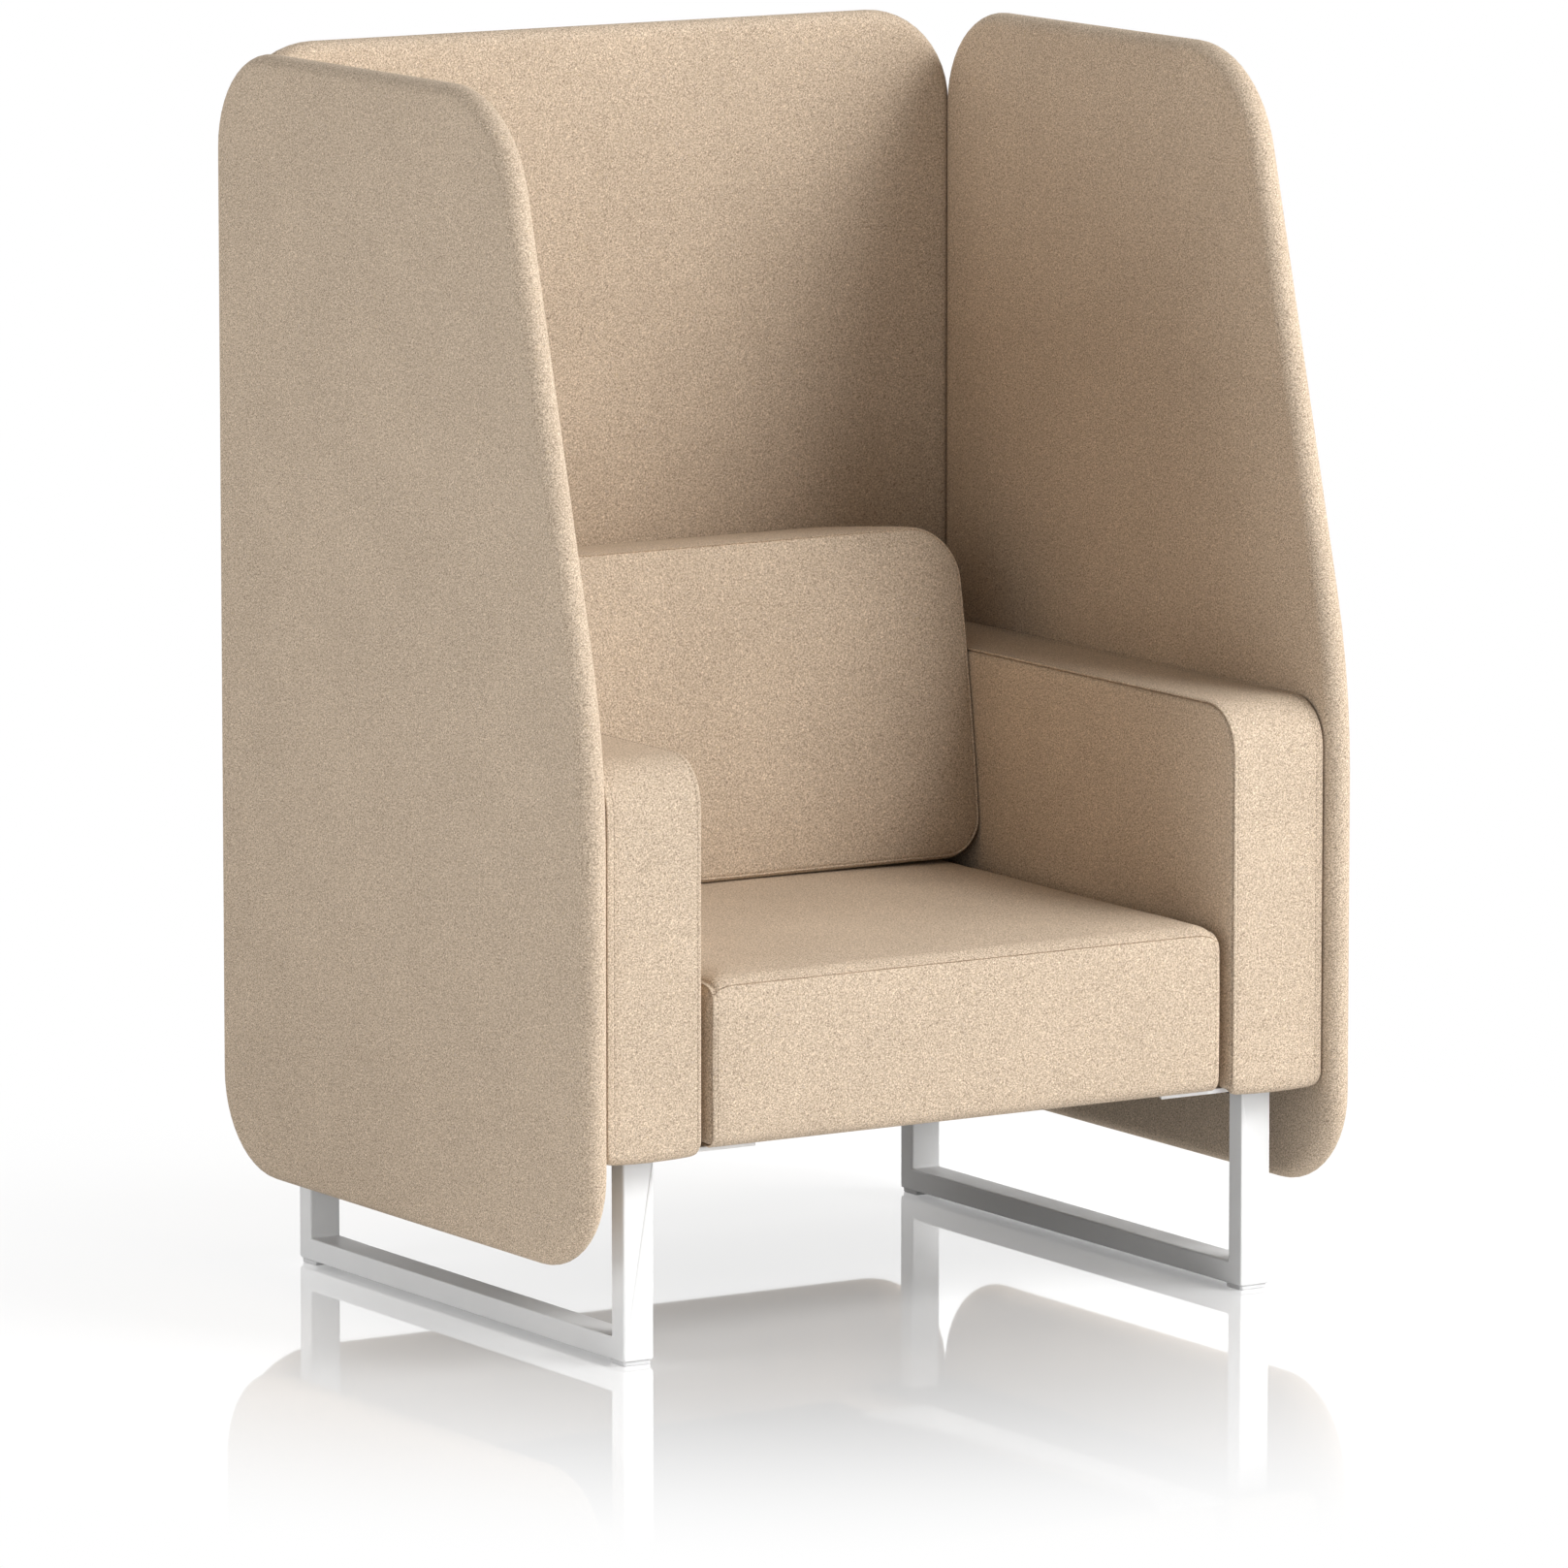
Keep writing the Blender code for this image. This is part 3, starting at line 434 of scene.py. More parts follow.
class Cover:
    """Closed cover: a band of rings round one outline, and a panel of squares over each end."""

    def __init__(self, name, corners, runs, sections, place, panels, dents=()):
        """Make the cover's piece.

        sections holds (inset, height) of each ring, and panels holds the rise of the two ends over their
        rings, by distance from the edge. place turns (u, v, height) into a point. dents holds (column,
        depth) of points that are pressed in along the band.
        """
        self.marks = corner_marks(corners, runs)
        self.columns = len(trace(corners, runs))
        self.rings = len(sections)
        verts, faces = [], []
        for inset, height in sections:
            ring = trace(corners, runs, inset)
            for column, depth in dents:
                ring[column] = trace(corners, runs, inset + depth)[column]
            verts += [place(u, v, height) for u, v in ring]
        for k in range(self.rings - 1):
            for i in range(self.columns):
                j = i + 1
                faces.append((self.at(k, i), self.at(k, j), self.at(k + 1, j), self.at(k + 1, i)))
        for k, lift in ((0, panels[0]), (self.rings - 1, panels[1])):
            inset, height = sections[k]
            self.close(verts, faces, trace(corners, runs, inset), k, height, lift, place)
        bm = bmesh.new()
        made = [bm.verts.new(vert) for vert in verts]
        for face in faces:
            bm.faces.new([made[i] for i in face])
        bmesh.ops.recalc_face_normals(bm, faces=bm.faces[:])
        self.piece = to_piece(name, bm)

    def at(self, ring, column):
        """Vertex of one ring and column."""
        return ring * self.columns + column % self.columns

    def close(self, verts, faces, points, ring, height, lift, place):
        """Add the panel that closes one end."""
        (bottom, right, top, left), grid = panel_grid(points, self.marks)
        rows, columns = grid.shape[:2]
        heights = height + lift(edge_distance(grid, points))
        index = np.zeros((rows, columns), int)
        index[0], index[-1] = self.at(ring, 0) + bottom, self.at(ring, 0) + top
        index[:, 0], index[:, -1] = self.at(ring, 0) + left, self.at(ring, 0) + right
        for r in range(1, rows - 1):
            for c in range(1, columns - 1):
                index[r, c] = len(verts)
                verts.append(place(*grid[r, c], heights[r, c]))
        for r in range(rows - 1):
            for c in range(columns - 1):
                faces.append((index[r, c], index[r, c + 1], index[r + 1, c + 1], index[r + 1, c]))

    def picked(self, test):
        """Vertices whose place passes a test."""
        return [vert.index for vert in self.piece.data.vertices if test(vert.co)]

    def whole_rings(self, rings):
        """All vertices of some rings."""
        return [self.at(ring, column) for ring in rings for column in range(self.columns)]

    def first_seam(self, seam, pins):
        """Vertices that the thread holds in the first end's seam."""
        return self.whole_rings(len(seam) - 1 - k for k in pins)

    def last_seam(self, seam, pins):
        """Vertices that the thread holds in the last end's seam."""
        return self.whole_rings(self.rings - len(seam) + k for k in pins)

    def stitch_lines(self, seam):
        """Lines of vertices in the two stitch channels, over the top from the rear and down the front."""
        first, last = self.marks[2], self.marks[0] + self.columns
        channels = (len(seam) + 1, self.rings - len(seam) - 2)
        return [[self.at(ring, column) for column in range(first, last + 1)] for ring in channels]


def inflate(piece, pinned, most):
    """Press the cover out from inside, but for its pinned points, and cap each point's travel at most."""
    scene = bpy.context.scene
    group = piece.vertex_groups.new(name="pinned")
    group.add([int(i) for i in pinned], 1.0, "REPLACE")
    cloth = piece.modifiers.new("cloth", "CLOTH")
    cloth.settings.vertex_group_mass = group.name
    cloth.settings.use_pressure = True
    cloth.settings.uniform_pressure_force = PRESSURE
    cloth.settings.effector_weights.gravity = 0.0
    start = coordinates(piece.data)
    for number in range(1, SIM_FRAMES + 1):
        scene.frame_set(number)
    moved = coordinates(piece.evaluated_get(bpy.context.evaluated_depsgraph_get()).data)
    piece.modifiers.remove(cloth)
    piece.vertex_groups.remove(group)
    scene.frame_set(1)
    travel = moved - start
    reach = np.maximum(np.linalg.norm(travel, axis=1, keepdims=True), LEAST_TRAVEL)
    move_to(piece.data, start + travel * most * np.tanh(reach / most) / reach)


def seam_sections(seam, face, way):
    """Rings of a seam whose panel faces way (1 or -1) at one height, from the band to the panel."""
    return [(inset, face - way * behind) for inset, behind in seam]


def panel_lift(seam, way, crown=0.0, edge=PANEL_EDGE):
    """Heights of a sewn panel over its last seam ring, by distance from that ring."""
    behind = seam[-1][1]

    def lift(distance):
        rise = behind * (1 - np.exp(-distance / edge))
        return way * (rise + crown * (1 - np.exp(-distance / PANEL_REACH)))

    return lift


def stitch_rings(height):
    """Rings of a shallow channel for a row of stitches."""
    return [(0.0, height - STITCH_SIDE), (STITCH_CHANNEL, height), (0.0, height + STITCH_SIDE)]


def boxed_sections(first, last, near, far, step):
    """Rings from one sewn side panel to the other, with rows of stitches at the heights near and far."""
    return [
        *seam_sections(FLAT_SEAM, first, -1)[::-1],
        *stitch_rings(near),
        *((0.0, height) for height in between(near + STITCH_SIDE, far - STITCH_SIDE, step)),
        *stitch_rings(far),
        *seam_sections(FLAT_SEAM, last, 1),
    ]


def boxed_panels():
    """The two side panels of an arm or the seat."""
    return [panel_lift(FLAT_SEAM, way) for way in WAYS]


# Screens


def nose_sections(half):
    """Rings of a full half-round edge."""
    angles = [math.pi * part for part in even(NOSE_STEPS)]
    return [(half * (1 - math.sin(a)), -half * math.cos(a)) for a in angles]


def screen_lift(way):
    """Slight swell of a screen's face, by distance from its edge."""
    return lambda distance: way * SCREEN_PUFF * (1 - np.exp(-distance / PANEL_REACH))


def screen_runs(corners):
    """Number of steps along each straight side, by its length from corner to corner."""
    runs = []
    for (u0, v0, *_), (u1, v1, *_) in zip(corners, corners[1:] + corners[:1]):
        runs.append(steps_along(math.hypot(u1 - u0, v1 - v0), SCREEN_STEP))
    return runs


def build_side_screen(side, label):
    """Side screen whose front edge leans back above a soft knee."""
    low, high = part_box(label + "_screen_cover")
    middle, half = (low.x + high.x) / 2, (high.x - low.x) / 2
    turns = even(WIDE_CORNER_STEPS)
    corners = [
        (low.y, low.z, SCREEN_CORNER, turns),
        (high.y, low.z, SCREEN_CORNER, turns),
        (high.y, high.z, SCREEN_CORNER, turns),
        (low.y + TOP_SETBACK, high.z, TOP_FRONT_CORNER, turns),
        (low.y, KNEE_HEIGHT, KNEE_RADIUS, even(KNEE_STEPS)),
    ]
    runs = screen_runs(corners)
    # Opposite sides of a panel need as many points as each other
    runs[2] = runs[0]
    runs[1] = runs[3] + KNEE_STEPS + runs[4]
    cover = Cover(
        label + "_screen_upholstery",
        corners,
        runs,
        nose_sections(half),
        lambda u, v, h: (middle + side * h, u, v),
        [screen_lift(way) for way in WAYS],
    )
    return cover.piece


def build_back_screen():
    """Plain back screen with four round corners."""
    low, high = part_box("back_screen_cover")
    middle, half = (low.y + high.y) / 2, (high.y - low.y) / 2
    turns = even(WIDE_CORNER_STEPS)
    corners = [
        (low.x, low.z, SCREEN_CORNER, turns),
        (high.x, low.z, SCREEN_CORNER, turns),
        (high.x, high.z, SCREEN_CORNER, turns),
        (low.x, high.z, SCREEN_CORNER, turns),
    ]
    cover = Cover(
        "back_screen_upholstery",
        corners,
        screen_runs(corners),
        nose_sections(half),
        lambda u, v, h: (u, middle + h, v),
        [screen_lift(way) for way in WAYS],
    )
    return cover.piece


# Arms


def build_right_arm():
    """Arm with a sewn panel on each side, and a band with a row of stitches along each edge.

    Heights run from the arm's outer face to its inner one.
    """
    low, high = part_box("right_arm_cover")
    plate_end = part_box("right_link_plate")[1]
    width = high.x - low.x
    turns = even(SMALL_CORNER_STEPS)
    corners = [
        (low.y, low.z, ARM_TOE_CORNER, turns),
        (high.y, low.z, ARM_REAR_CORNER, turns),
        (high.y, high.z, ARM_REAR_CORNER, turns),
        (low.y, high.z, ARM_FRONT_CORNER, turns),
    ]
    along, up = steps_along(high.y - low.y, STEP), steps_along(high.z - low.z, STEP)
    lifted = plate_end.z + NOTCH_LIFT
    hollow = (low.y + ARM_TOE_CORNER - NOTCH_LIFT, high.y - ARM_REAR_CORNER + NOTCH_LIFT)

    def toe_lift(u, v, h):
        """How far the two lower front corners are rounded up, less the belly between them."""
        short = max(0.0, TOE_ROUND + TOE_SIDE - min(h, width - h))
        lift = TOE_ROUND - math.sqrt(TOE_ROUND**2 - min(short, TOE_ROUND) ** 2)
        return (lift - TOE_BELLY * arch(h / width)) * by_low_front(u, v, low, TOE_REACH)

    def place(u, v, h):
        v += toe_lift(u, v, h)
        under = v < lifted and hollow[0] < u < hollow[1]
        over_plate = h > width / 2 and u < plate_end.y + STEP
        if under and (over_plate or ARM_RIM < h < width - ARM_RIM):
            v = lifted
        return (high.x - h, u, v)

    cover = Cover(
        "right_arm_upholstery",
        corners,
        [along, up, along, up],
        boxed_sections(0.0, width, ARM_OUTER_STITCH, width - ARM_INNER_STITCH, STEP),
        place,
        boxed_panels(),
    )
    pins = cover.first_seam(FLAT_SEAM, FLAT_PINS) + cover.last_seam(FLAT_SEAM, FLAT_PINS)
    pins += cover.picked(lambda co: co.z < lifted + STEP)
    pins += cover.picked(lambda co: co.x > high.x - STEP or co.y > high.y - STEP)
    inflate(cover.piece, pins, ARM_PUFF)
    smooth(cover.piece)
    return cover.piece, cover.stitch_lines(FLAT_SEAM)


# Seat


def recess(value, low, high):
    """1 inside a range, falling to 0 over one mesh step beyond its ends."""
    return share(1 + min(value - low, high - value) / SEAT_STEP)


def build_seat():
    """Seat whose band wraps over the front and top, with a sewn panel on each side and a front seam."""
    low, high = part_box("seat_cover")
    sheet_low, sheet_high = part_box("seat_dust_cover")
    top, half = high.z - SEAT_CROWN, high.x + SEAT_SIDE
    turns = even(SMALL_CORNER_STEPS)
    front_turns = [*LOW_TURNS, MIDDLE, *HIGH_TURNS]
    rear_turns = [1 - part for part in reversed(front_turns)]
    corners = [
        (low.y, low.z, SEAT_LOW_EDGE, turns),
        (high.y, low.z, SEAT_LOW_EDGE, turns),
        (high.y, top, SEAT_TOP_EDGE, rear_turns),
        (low.y, top, SEAT_TOP_EDGE, front_turns),
    ]
    deep, tall = steps_along(high.y - low.y, SEAT_STEP), steps_along(top - low.z, SEAT_STEP)
    # The lower side makes up for the fewer points in its corners
    more_below = 2 * (len(LOW_TURNS) - SMALL_CORNER_STEPS // 2)
    runs = [deep + more_below, tall, deep, tall]
    seam = column_of(corners, runs, TOP_FRONT, SEAM_TURN)
    far = half - SEAT_STITCH

    def shoulder(rise, h):
        """How far the top is rounded down towards the side seams."""
        part = (abs(h) - half + SEAT_SHOULDER_START) / (SEAT_SHOULDER_START - SEAT_SHOULDER_END)
        return SEAT_SHOULDER * (1 - math.sqrt(1 - share(part) ** 2)) * rise

    def place(u, v, h):
        if v < low.z + SEAT_RECESS:
            inside = recess(h, sheet_low.x, sheet_high.x) * recess(u, sheet_low.y, sheet_high.y)
            v += SEAT_RECESS * inside
        up, back = (v - low.z) / (top - low.z), (u - low.y) / (high.y - low.y)
        v -= SEAT_SAG * share(SEAT_SAG_STEEPNESS * by_low_front(u, v, low, SEAT_SAG_REACH))
        rise = max(0.0, up - MIDDLE) / MIDDLE
        crown = SEAT_CROWN * rise * (1 - (h / half) ** 2) * arch(back)
        barrel = SEAT_BARREL * abs(h / half) ** SEAT_BARREL_POWER * arch(up)
        return (h + math.copysign(barrel, h), u, v + crown - shoulder(rise, h))

    cover = Cover(
        "seat_upholstery",
        corners,
        runs,
        boxed_sections(-half, half, -far, far, SEAT_STEP),
        place,
        boxed_panels(),
        [(seam, FRONT_SEAM_DEPTH)],
    )
    under_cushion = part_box("cushion_cover")[0].y - SEAT_STEP
    pins = cover.first_seam(FLAT_SEAM, FLAT_PINS) + cover.last_seam(FLAT_SEAM, FLAT_PINS)
    pins += [cover.at(ring, seam + side) for ring in range(cover.rings) for side in (-1, 0, 1)]
    pins += cover.picked(lambda co: co.z < low.z + SEAT_STEP or co.y > under_cushion)
    inflate(cover.piece, pins, SEAT_PUFF)
    smooth(cover.piece)
    return cover.piece, cover.stitch_lines(FLAT_SEAM)


# Back cushion


def no_lift(distance):
    """Flat panel."""
    return np.zeros_like(distance)


def build_cushion():
    """Wedge cushion with a sewn front panel. Heights run from its rear to its front."""
    low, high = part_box("cushion_cover")
    half, rear = high.x, high.y
    turns = even(WIDE_CORNER_STEPS)
    corners = [
        (-half, 0.0, CUSHION_FOOT_CORNER, turns),
        (half, 0.0, CUSHION_FOOT_CORNER, turns),
        (half, CUSHION_FRONT_HEIGHT, CUSHION_TOP_CORNER, turns),
        (-half, CUSHION_FRONT_HEIGHT, CUSHION_TOP_CORNER, turns),
    ]
    both_corners = CUSHION_FOOT_CORNER + CUSHION_TOP_CORNER
    across = steps_along(2 * half - both_corners, STEP)
    up = steps_along(CUSHION_FRONT_HEIGHT - both_corners, STEP)
    edge = CUSHION_REAR_EDGE
    angles = [math.pi / 2 * part for part in even(REAR_EDGE_STEPS)]
    band_end = CUSHION_FOOT_DEPTH - CUSHION_SEAM[0][1]
    sections = [
        *((edge * (1 - math.sin(a)), edge * (1 - math.cos(a))) for a in angles),
        *((0.0, height) for height in between(edge, band_end, STEP)),
        *seam_sections(CUSHION_SEAM, CUSHION_FOOT_DEPTH, 1),
    ]

    def place(u, v, h):
        v += SEAM_LIFT * share((h - band_end) / SEAM_LIFT_BLEND) * (1 - v / CUSHION_FRONT_HEIGHT)
        rise, forward = v / CUSHION_FRONT_HEIGHT, h / CUSHION_FOOT_DEPTH
        depth = CUSHION_FOOT_DEPTH + rise * (CUSHION_HEAD_DEPTH - CUSHION_FOOT_DEPTH)
        depth += CUSHION_BOW * arch(rise)
        height = CUSHION_REAR_HEIGHT + forward * (CUSHION_FRONT_HEIGHT - CUSHION_REAR_HEIGHT)
        return (u, rear - depth * forward, low.z + height * rise)

    cover = Cover(
        "back_cushion_upholstery",
        corners,
        [across, up, across, up],
        sections,
        place,
        (no_lift, panel_lift(CUSHION_SEAM, 1, CUSHION_CROWN, CUSHION_EDGE)),
    )
    mesh = cover.piece.data
    pins = cover.last_seam(CUSHION_SEAM, CUSHION_PINS)
    pins += cover.picked(lambda co: co.y > rear - STEP or co.z < low.z + STEP)
    most = np.full((len(mesh.vertices), 1), CUSHION_PLUMP)
    most[: cover.rings * cover.columns] = CUSHION_PUFF
    inflate(cover.piece, pins, most)
    points = coordinates(mesh)
    points[:, 0] = np.clip(points[:, 0], -half, half)
    points[:, 2] = np.maximum(points[:, 2], low.z)
    move_to(mesh, points)
    smooth(cover.piece)
    return cover.piece


# Stitching


def stitch(name, piece, lines):
    """Rows of short threads that lie on the piece's surface along lines of its vertices."""
    surface = BVHTree.FromObject(piece, bpy.context.evaluated_depsgraph_get())
    bm = bmesh.new()
    for line in lines:
        points = [piece.data.vertices[i].co.copy() for i in line]
        lengths = np.cumsum([0.0] + [(b - a).length for a, b in zip(points, points[1:])])
        at = STITCH_GAP
        while at + STITCH_LENGTH < lengths[-1]:
            ends = (at, at + STITCH_LENGTH)
            add_thread(bm, *(on_surface(surface, points, lengths, end) for end in ends))
            at += STITCH_LENGTH + STITCH_GAP
    bmesh.ops.recalc_face_normals(bm, faces=bm.faces[:])
    return to_piece(name, bm)


def on_surface(surface, points, lengths, distance):
    """Place and normal of the surface at one distance along a line of points."""
    guess = Vector([np.interp(distance, lengths, axis) for axis in zip(*points)])
    place, normal, _, _ = surface.find_nearest(guess)
    return place, normal


def add_thread(bm, start, end):
    """One stitch: a short thread that dips into the cloth at both ends."""
    (a, up_a), (b, up_b) = start, end
    up = (up_a + up_b).normalized()
    across = (b - a).normalized().cross(up)
    rings = []
    for part, size in THREAD_PROFILE:
        middle = a.lerp(b, part) + up * THREAD_RADIUS * (2 * size - THREAD_DIP)
        ring = []
        for k in range(THREAD_SIDES):
            angle = 2 * math.pi * k / THREAD_SIDES
            spoke = across * math.cos(angle) + up * math.sin(angle)
            ring.append(bm.verts.new(middle + spoke * THREAD_RADIUS * size))
        rings.append(ring)
    for lower, upper in zip(rings, rings[1:]):
        for k in range(THREAD_SIDES):
            j = (k + 1) % THREAD_SIDES
            bm.faces.new((lower[k], lower[j], upper[j], upper[k]))
    bm.faces.new(rings[0][::-1])
    bm.faces.new(rings[-1])


# Sheets of cloth in and under the seat, and under the arms


def spaced(marks):
    """Places from the first mark to the last, with every mark among them."""
    marks = sorted(marks)
    places = [marks[0]]
    for start, end in zip(marks, marks[1:]):
        count = max(1, round((end - start) / SHEET_STEP))
        places += [start + (end - start) * k / count for k in range(1, count + 1)]
    return places


def leg_holes(label):
    """Ranges in X and Y that the two legs of one sled frame pass through."""
    low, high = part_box(label + "_sled_frame")
    across = (low.x - LEG_CLEARANCE, high.x + LEG_CLEARANCE)
    front = (low.y - LEG_CLEARANCE, low.y + LEG_DEPTH + LEG_CLEARANCE)
    rear = (high.y - LEG_DEPTH - LEG_CLEARANCE, high.y + LEG_CLEARANCE)
    return [(across, front), (across, rear)]


def in_hole(x, y, holes):
    return any(across[0] < x < across[1] and along[0] < y < along[1] for across, along in holes)


def build_sheet(name, node, holes):
    """Stretched cloth that follows its solid's outline with a slight sag, and leaves its holes open."""
    low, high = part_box(node)
    middle = (low.z + high.z) / 2
    xs = spaced({low.x, high.x, *(edge for across, _ in holes for edge in across)})
    ys = spaced({low.y, high.y, *(edge for _, along in holes for edge in along)})
    bm = bmesh.new()
    grid = []
    for x in xs:
        sag = SHEET_SAG * arch((x - low.x) / (high.x - low.x))
        depths = [sag * arch((y - low.y) / (high.y - low.y)) for y in ys]
        grid.append([bm.verts.new((x, y, middle - depth)) for y, depth in zip(ys, depths)])
    for i in range(len(xs) - 1):
        for j in range(len(ys) - 1):
            if not in_hole((xs[i] + xs[i + 1]) / 2, (ys[j] + ys[j + 1]) / 2, holes):
                bm.faces.new((grid[i][j], grid[i + 1][j], grid[i + 1][j + 1], grid[i][j + 1]))
    loose = [vert for vert in bm.verts if not vert.link_faces]
    bmesh.ops.delete(bm, geom=loose, context="VERTS")
    sheet = to_piece(name, bm)
    thick = sheet.modifiers.new("thickness", "SOLIDIFY")
    thick.thickness = SHEET_THICKNESS
    thick.offset = 0.0
    return sheet


# Materials


class Graph:
    """Node tree of one material, with a short way to add and join nodes."""

    def __init__(self, name):
        self.material = bpy.data.materials.new(name)
        self.material.use_nodes = True
        self.tree = self.material.node_tree
        self.shader = self.tree.nodes["Principled BSDF"]

    def add(self, kind, sockets=None, **settings):
        """New node with its settings, and its inputs set or joined."""
        node = self.tree.nodes.new("ShaderNode" + kind)
        for key, value in settings.items():
            setattr(node, key, value)
        self.set(node, sockets or {})
        return node

    def set(self, node, sockets):
        """Join an input to another node's output, or give it a value."""
        for key, value in sockets.items():
            if isinstance(value, bpy.types.NodeSocket):
                self.tree.links.new(value, node.inputs[key])
            else:
                node.inputs[key].default_value = value

    def noise(self, vector, scale, detail=2.0, roughness=0.6):
        sockets = {"Vector": vector, "Scale": scale, "Detail": detail, "Roughness": roughness}
        return self.add("TexNoise", sockets).outputs["Fac"]

    def ramp(self, value, *stops):
        """Colours by value, from (place, colour) stops."""
        node = self.add("ValToRGB", {"Fac": value})
        elements = node.color_ramp.elements
        while len(elements) < len(stops):
            elements.new(1.0)
        for element, (place, colour) in zip(elements, stops):
            element.position = place
            element.color = opaque(colour)
        return node.outputs["Color"]

    def mix(self, factor, first, second, how="MIX"):
        node = self.add("Mix", data_type="RGBA", blend_type=how)
        self.set(node, {0: factor, 6: first, 7: second})
        return node.outputs[2]

    def math(self, how, first, second):
        return self.add("Math", {0: first, 1: second}, operation=how).outputs[0]

    def stretched(self, vector, scale):
        return self.add("Mapping", {"Vector": vector, "Scale": scale}).outputs["Vector"]

    def turned(self, vector):
        """Turned away from the axes, so that no flat face lies along the noise's own lattice."""
        return self.add("Mapping", {"Vector": vector, "Rotation": NOISE_TURN}).outputs["Vector"]

    def bump(self, height, strength, distance):
        sockets = {"Height": height, "Strength": strength, "Distance": distance}
        return self.add("Bump", sockets).outputs["Normal"]

    def object_place(self):
        return self.add("TexCoord").outputs["Object"]


def grey(value):
    return (value, value, value)


def opaque(colour):
    return (*colour, 1.0)


def make_felt():
    """Oatmeal marl wool felt: short light and dark fibres with a soft nap."""
    g = Graph("oatmeal_felt")
    place = g.turned(g.object_place())
    grain = g.noise(place, scale=700.0, detail=3.0, roughness=0.65)
    warp = g.noise(g.stretched(place, (1.0, 1.0, 0.4)), scale=850.0)
    weft = g.noise(g.stretched(place, (0.4, 0.4, 1.0)), scale=850.0)
    fibre = g.math("MULTIPLY", g.math("ADD", warp, weft), 0.5)
    coarse = g.math("MULTIPLY", grain, GRAIN_SHARE)
    marl = g.math("ADD", coarse, g.math("MULTIPLY", fibre, FIBRE_SHARE))
    stops = ((0.37, FELT_DARK), (0.46, FELT_SHADE), (0.54, FELT_BODY), (0.63, FELT_LIGHT))
    tone = g.ramp(marl, *stops)
    ochre = g.ramp(g.noise(place, scale=210.0), (0.62, grey(0.0)), (0.74, grey(0.35)))
    tone = g.mix(ochre, tone, opaque(FELT_OCHRE))
    flecks = g.noise(g.stretched(place, (1.1, 0.9, 1.2)), scale=170.0)
    cool = g.ramp(flecks, (0.62, grey(0.0)), (0.74, grey(0.30)))
    tone = g.mix(cool, tone, opaque(FELT_COOL))
    clouds = g.noise(place, scale=9.0, detail=3.0, roughness=0.5)
    tone = g.mix(1.0, tone, g.ramp(clouds, (0.3, grey(0.96)), (0.7, grey(1.03))), "MULTIPLY")
    looks = {
        "Base Color": tone,
        "Roughness": g.ramp(marl, (0.3, grey(0.98)), (0.7, grey(0.86))),
        "Specular IOR Level": 0.15,
        "Sheen Weight": 0.08,
        "Sheen Roughness": 0.5,
        "Sheen Tint": opaque(FELT_NAP),
        "Normal": g.bump(marl, strength=0.35, distance=0.0009),
    }
    g.set(g.shader, looks)
    return g.material


def make_thread():
    """Spun thread of the felt's own beige, painted darker than the felt as the shade in its stitch holes.
    """
    g = Graph("sewing_thread")
    twist = g.noise(g.object_place(), scale=1500.0)
    # The whole tone is painted darker than the felt: painted shade of the stitch holes
    tone = g.ramp(twist, (0.35, THREAD_SHADED_DARK), (0.65, THREAD_SHADED_LIGHT))
    normal = g.bump(twist, strength=0.3, distance=0.0003)
    g.set(g.shader, {"Base Color": tone, "Roughness": 0.7, "Normal": normal})
    return g.material


def make_base_cloth():
    """Black spun-bonded cloth with a fine dotted bond pattern."""
    g = Graph("black_base_cloth")
    place = g.object_place()
    dots = g.add("TexVoronoi", {"Vector": place, "Scale": 420.0}).outputs["Distance"]
    fibre = g.noise(place, scale=900.0, roughness=0.7)
    tone = g.ramp(fibre, (0.3, grey(0.012)), (0.7, grey(0.045)))
    bond = g.ramp(dots, (0.1, grey(0.5)), (0.3, grey(0.0)))
    tone = g.mix(bond, tone, opaque(CLOTH_BOND))
    normal = g.bump(dots, strength=0.4, distance=0.0004)
    g.set(g.shader, {"Base Color": tone, "Roughness": 0.85, "Normal": normal})
    return g.material


def make_white_coat():
    """White powder coat with a faint orange peel."""
    g = Graph("white_powder_coat")
    place = g.object_place()
    peel = g.noise(place, scale=700.0, roughness=0.5)
    haze = g.noise(place, scale=25.0, detail=3.0, roughness=0.5)
    tone = g.ramp(haze, (0.3, COAT_DARK), (0.7, COAT_LIGHT))
    rough = g.ramp(haze, (0.3, grey(0.34)), (0.7, grey(0.44)))
    normal = g.bump(peel, strength=0.08, distance=0.0003)
    g.set(g.shader, {"Base Color": tone, "Roughness": rough, "Normal": normal})
    return g.material


def make_zinc():
    """Zinc plated steel with soft clouds in its shine."""
    g = Graph("zinc_plated_steel")
    cloud = g.noise(g.object_place(), scale=180.0, detail=3.0)
    tone = g.ramp(cloud, (0.3, ZINC_DARK), (0.7, ZINC_LIGHT))
    rough = g.ramp(cloud, (0.3, grey(0.26)), (0.7, grey(0.46)))
    g.set(g.shader, {"Base Color": tone, "Roughness": rough, "Metallic": 1.0})
    return g.material


def make_timber():
    """Plain sawn frame timber with a long grain."""
    g = Graph("frame_timber")
    place = g.object_place()
    rings = g.noise(g.stretched(place, (9.0, 1.0, 9.0)), scale=14.0, detail=4.0)
    pores = g.noise(g.stretched(place, (30.0, 2.0, 30.0)), scale=40.0)
    tone = g.ramp(rings, (0.3, TIMBER_DARK), (0.5, TIMBER_BODY), (0.7, TIMBER_LIGHT))
    normal = g.bump(pores, strength=0.25, distance=0.0005)
    g.set(g.shader, {"Base Color": tone, "Roughness": 0.72, "Normal": normal})
    return g.material


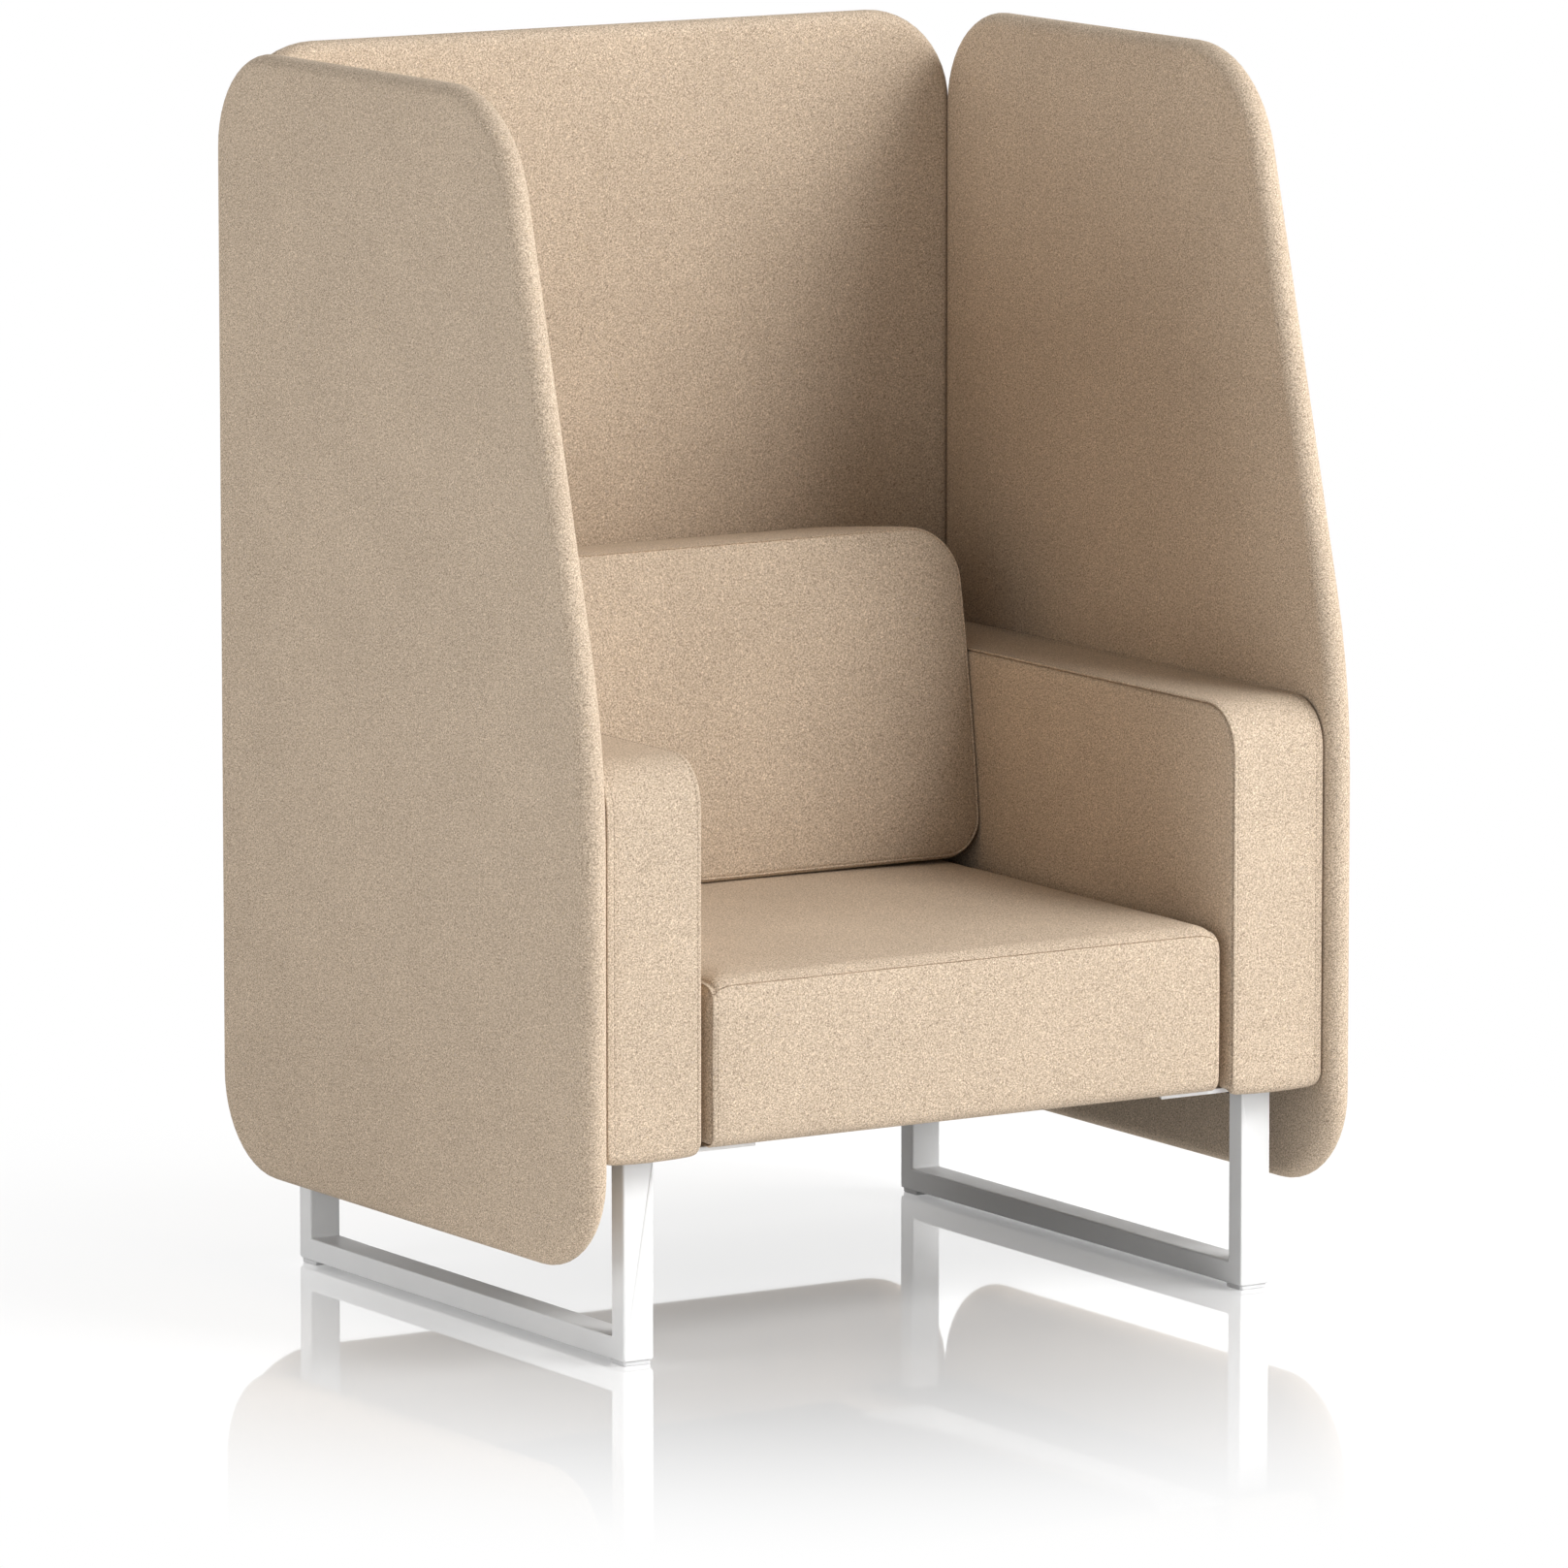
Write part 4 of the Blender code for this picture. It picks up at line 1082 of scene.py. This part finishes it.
def make_glide():
    """Pale grey moulded nylon with a fine texture."""
    g = Graph("grey_nylon")
    grain = g.noise(g.object_place(), scale=1200.0)
    tone = g.ramp(grain, (0.3, grey(0.66)), (0.7, grey(0.74)))
    normal = g.bump(grain, strength=0.15, distance=0.0002)
    g.set(g.shader, {"Base Color": tone, "Roughness": 0.5, "Normal": normal})
    return g.material


def paint(piece, material):
    piece.data.materials.clear()
    piece.data.materials.append(material)


def dress_frame(finishes):
    """Give each node of the frame the finish of its slot in the record, where there is one."""
    for part in frame["record"]["subparts"]:
        node = frame["nodes"][part["node"]]
        if part["material_slot"] in finishes:
            paint(node, finishes[part["material_slot"]])
            shading = node.modifiers.new("shading", "WEIGHTED_NORMAL")
            shading.keep_sharp = True


# Assembly of the looks


def keep(piece, material, slot, *nodes):
    """Finish a piece, hang it on the body, and hide the nodes that it stands for."""
    paint(piece, material)
    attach(piece, BODY)
    if nodes:
        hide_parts(*nodes)
    return piece


def soft(piece, felt, group):
    """A padded piece that stands for a group's cover and foam."""
    keep(piece, felt, "felt", group + "_cover", group + "_foam")


def upholster(felt, thread):
    """Screens, arms, seat and back cushion, with their stitching."""
    for side, label in SIDES:
        soft(build_side_screen(side, label), felt, label + "_screen")
    soft(build_back_screen(), felt, "back_screen")

    right_arm, arm_lines = build_right_arm()
    left_arm = mirrored_copy(right_arm, "left_arm_upholstery")
    soft(right_arm, felt, "right_arm")
    soft(left_arm, felt, "left_arm")
    right_stitches = stitch("right_arm_stitching", right_arm, arm_lines)
    keep(right_stitches, thread, "felt")
    keep(mirrored_copy(right_stitches, "left_arm_stitching"), thread, "felt")

    seat, seat_lines = build_seat()
    soft(seat, felt, "seat")
    keep(stitch("seat_stitching", seat, seat_lines), thread, "felt")
    soft(build_cushion(), felt, "cushion")


def hang_sheets(cloth):
    """Base cloths of the arms, and the seat's dust cover and web."""
    for _, label in SIDES:
        node, holder = label + "_arm_base_cloth", label + "_arm_upholstery"
        hang_sheet(label + "_arm_base_sheet", node, cloth, holder, leg_holes(label))
    hang_sheet("seat_dust_sheet", "seat_dust_cover", cloth, "seat_upholstery")
    hang_sheet("seat_web_sheet", "seat_suspension_web", cloth, "seat_left_rail")


def hang_sheet(name, node, cloth, holder, holes=()):
    """One sheet that stands for a node. The holder argument is not used."""
    low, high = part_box(node)
    sheet = keep(build_sheet(name, node, holes), cloth, "base_cloth", node)


# Stage, light and camera


def build_floor():
    """Pale floor with a gloss, plain white to the camera and in reflections far from the seat."""
    bm = bmesh.new()
    bmesh.ops.create_grid(bm, x_segments=1, y_segments=1, size=FLOOR_SIZE)
    floor = to_piece("floor", bm)
    g = Graph("pale_floor")
    gloss = {"Roughness": 0.05, "Coat Weight": 1.0, "Coat Roughness": 0.02}
    g.set(g.shader, {"Base Color": opaque(FLOOR_TONE), **gloss})
    path = g.add("LightPath").outputs
    glow = g.add("Emission", {"Strength": g.math("MULTIPLY", path["Is Camera Ray"], FLOOR_GLOW)})
    near = g.add("AddShader", {0: g.shader.outputs[0], 1: glow.outputs[0]}).outputs[0]
    away = g.add("VectorMath", {0: g.object_place()}, operation="LENGTH").outputs["Value"]
    span = {"Value": away, "From Min": FLOOR_NEAR, "From Max": FLOOR_FAR}
    fade = g.add("MapRange", span, interpolation_type="SMOOTHSTEP").outputs[0]
    seen = g.math("MAXIMUM", path["Is Camera Ray"], path["Is Glossy Ray"])
    white = g.add("Emission", {"Strength": 1.0}).outputs[0]
    mixed = g.add("MixShader", {0: g.math("MULTIPLY", fade, seen), 1: near, 2: white}).outputs[0]
    g.tree.links.new(mixed, g.tree.nodes["Material Output"].inputs["Surface"])
    paint(floor, g.material)


def build_world():
    """White to the camera and in reflections, and a softer even light on everything else."""
    world = bpy.data.worlds.new("studio")
    world.use_nodes = True
    tree = world.node_tree
    back = tree.nodes["Background"]
    path = tree.nodes.new("ShaderNodeLightPath")
    seen = tree.nodes.new("ShaderNodeMath")
    seen.operation = "MAXIMUM"
    tree.links.new(path.outputs["Is Camera Ray"], seen.inputs[0])
    tree.links.new(path.outputs["Is Glossy Ray"], seen.inputs[1])
    level = tree.nodes.new("ShaderNodeMapRange")
    level.inputs["To Min"].default_value = AMBIENT
    level.inputs["To Max"].default_value = 1.0
    tree.links.new(seen.outputs[0], level.inputs["Value"])
    tree.links.new(level.outputs[0], back.inputs["Strength"])
    back.inputs["Color"].default_value = opaque(WHITE)
    bpy.context.scene.world = world


def add_softbox(name, azimuth, elevation, energy):
    """Square soft light; azimuth turns from the front towards +X."""
    a, e = math.radians(azimuth), math.radians(elevation)
    way = Vector((math.sin(a) * math.cos(e), -math.cos(a) * math.cos(e), math.sin(e)))
    lamp = bpy.data.lights.new(name, "AREA")
    lamp.shape = "SQUARE"
    lamp.size = LAMP_SIZE
    lamp.energy = energy
    holder = link(name, lamp)
    holder.location = Vector(LAMP_TARGET) + way * LAMP_DISTANCE
    holder.rotation_euler = (-way).to_track_quat("-Z", "Y").to_euler()


def build_camera():
    """Camera at the photograph's viewing angle."""
    data = bpy.data.cameras.new("camera")
    data.lens = CAMERA_LENS
    data.sensor_width = CAMERA_SENSOR
    data.clip_end = CAMERA_REACH
    camera = link("camera", data)
    camera.location = CAMERA_PLACE
    camera.rotation_euler = Vector(CAMERA_AIM).to_track_quat("-Z", "Y").to_euler()
    bpy.context.scene.camera = camera


build_camera()
finishes = {
    "timber": make_timber(),
    "white_coat": make_white_coat(),
    "zinc_steel": make_zinc(),
    "glide": make_glide(),
    "base_cloth": make_base_cloth(),
}
dress_frame(finishes)
upholster(make_felt(), make_thread())
hang_sheets(finishes["base_cloth"])
build_floor()
build_world()
for lamp_facts in LAMPS:
    add_softbox(*lamp_facts)
bpy.context.scene.view_settings.view_transform = "Standard"
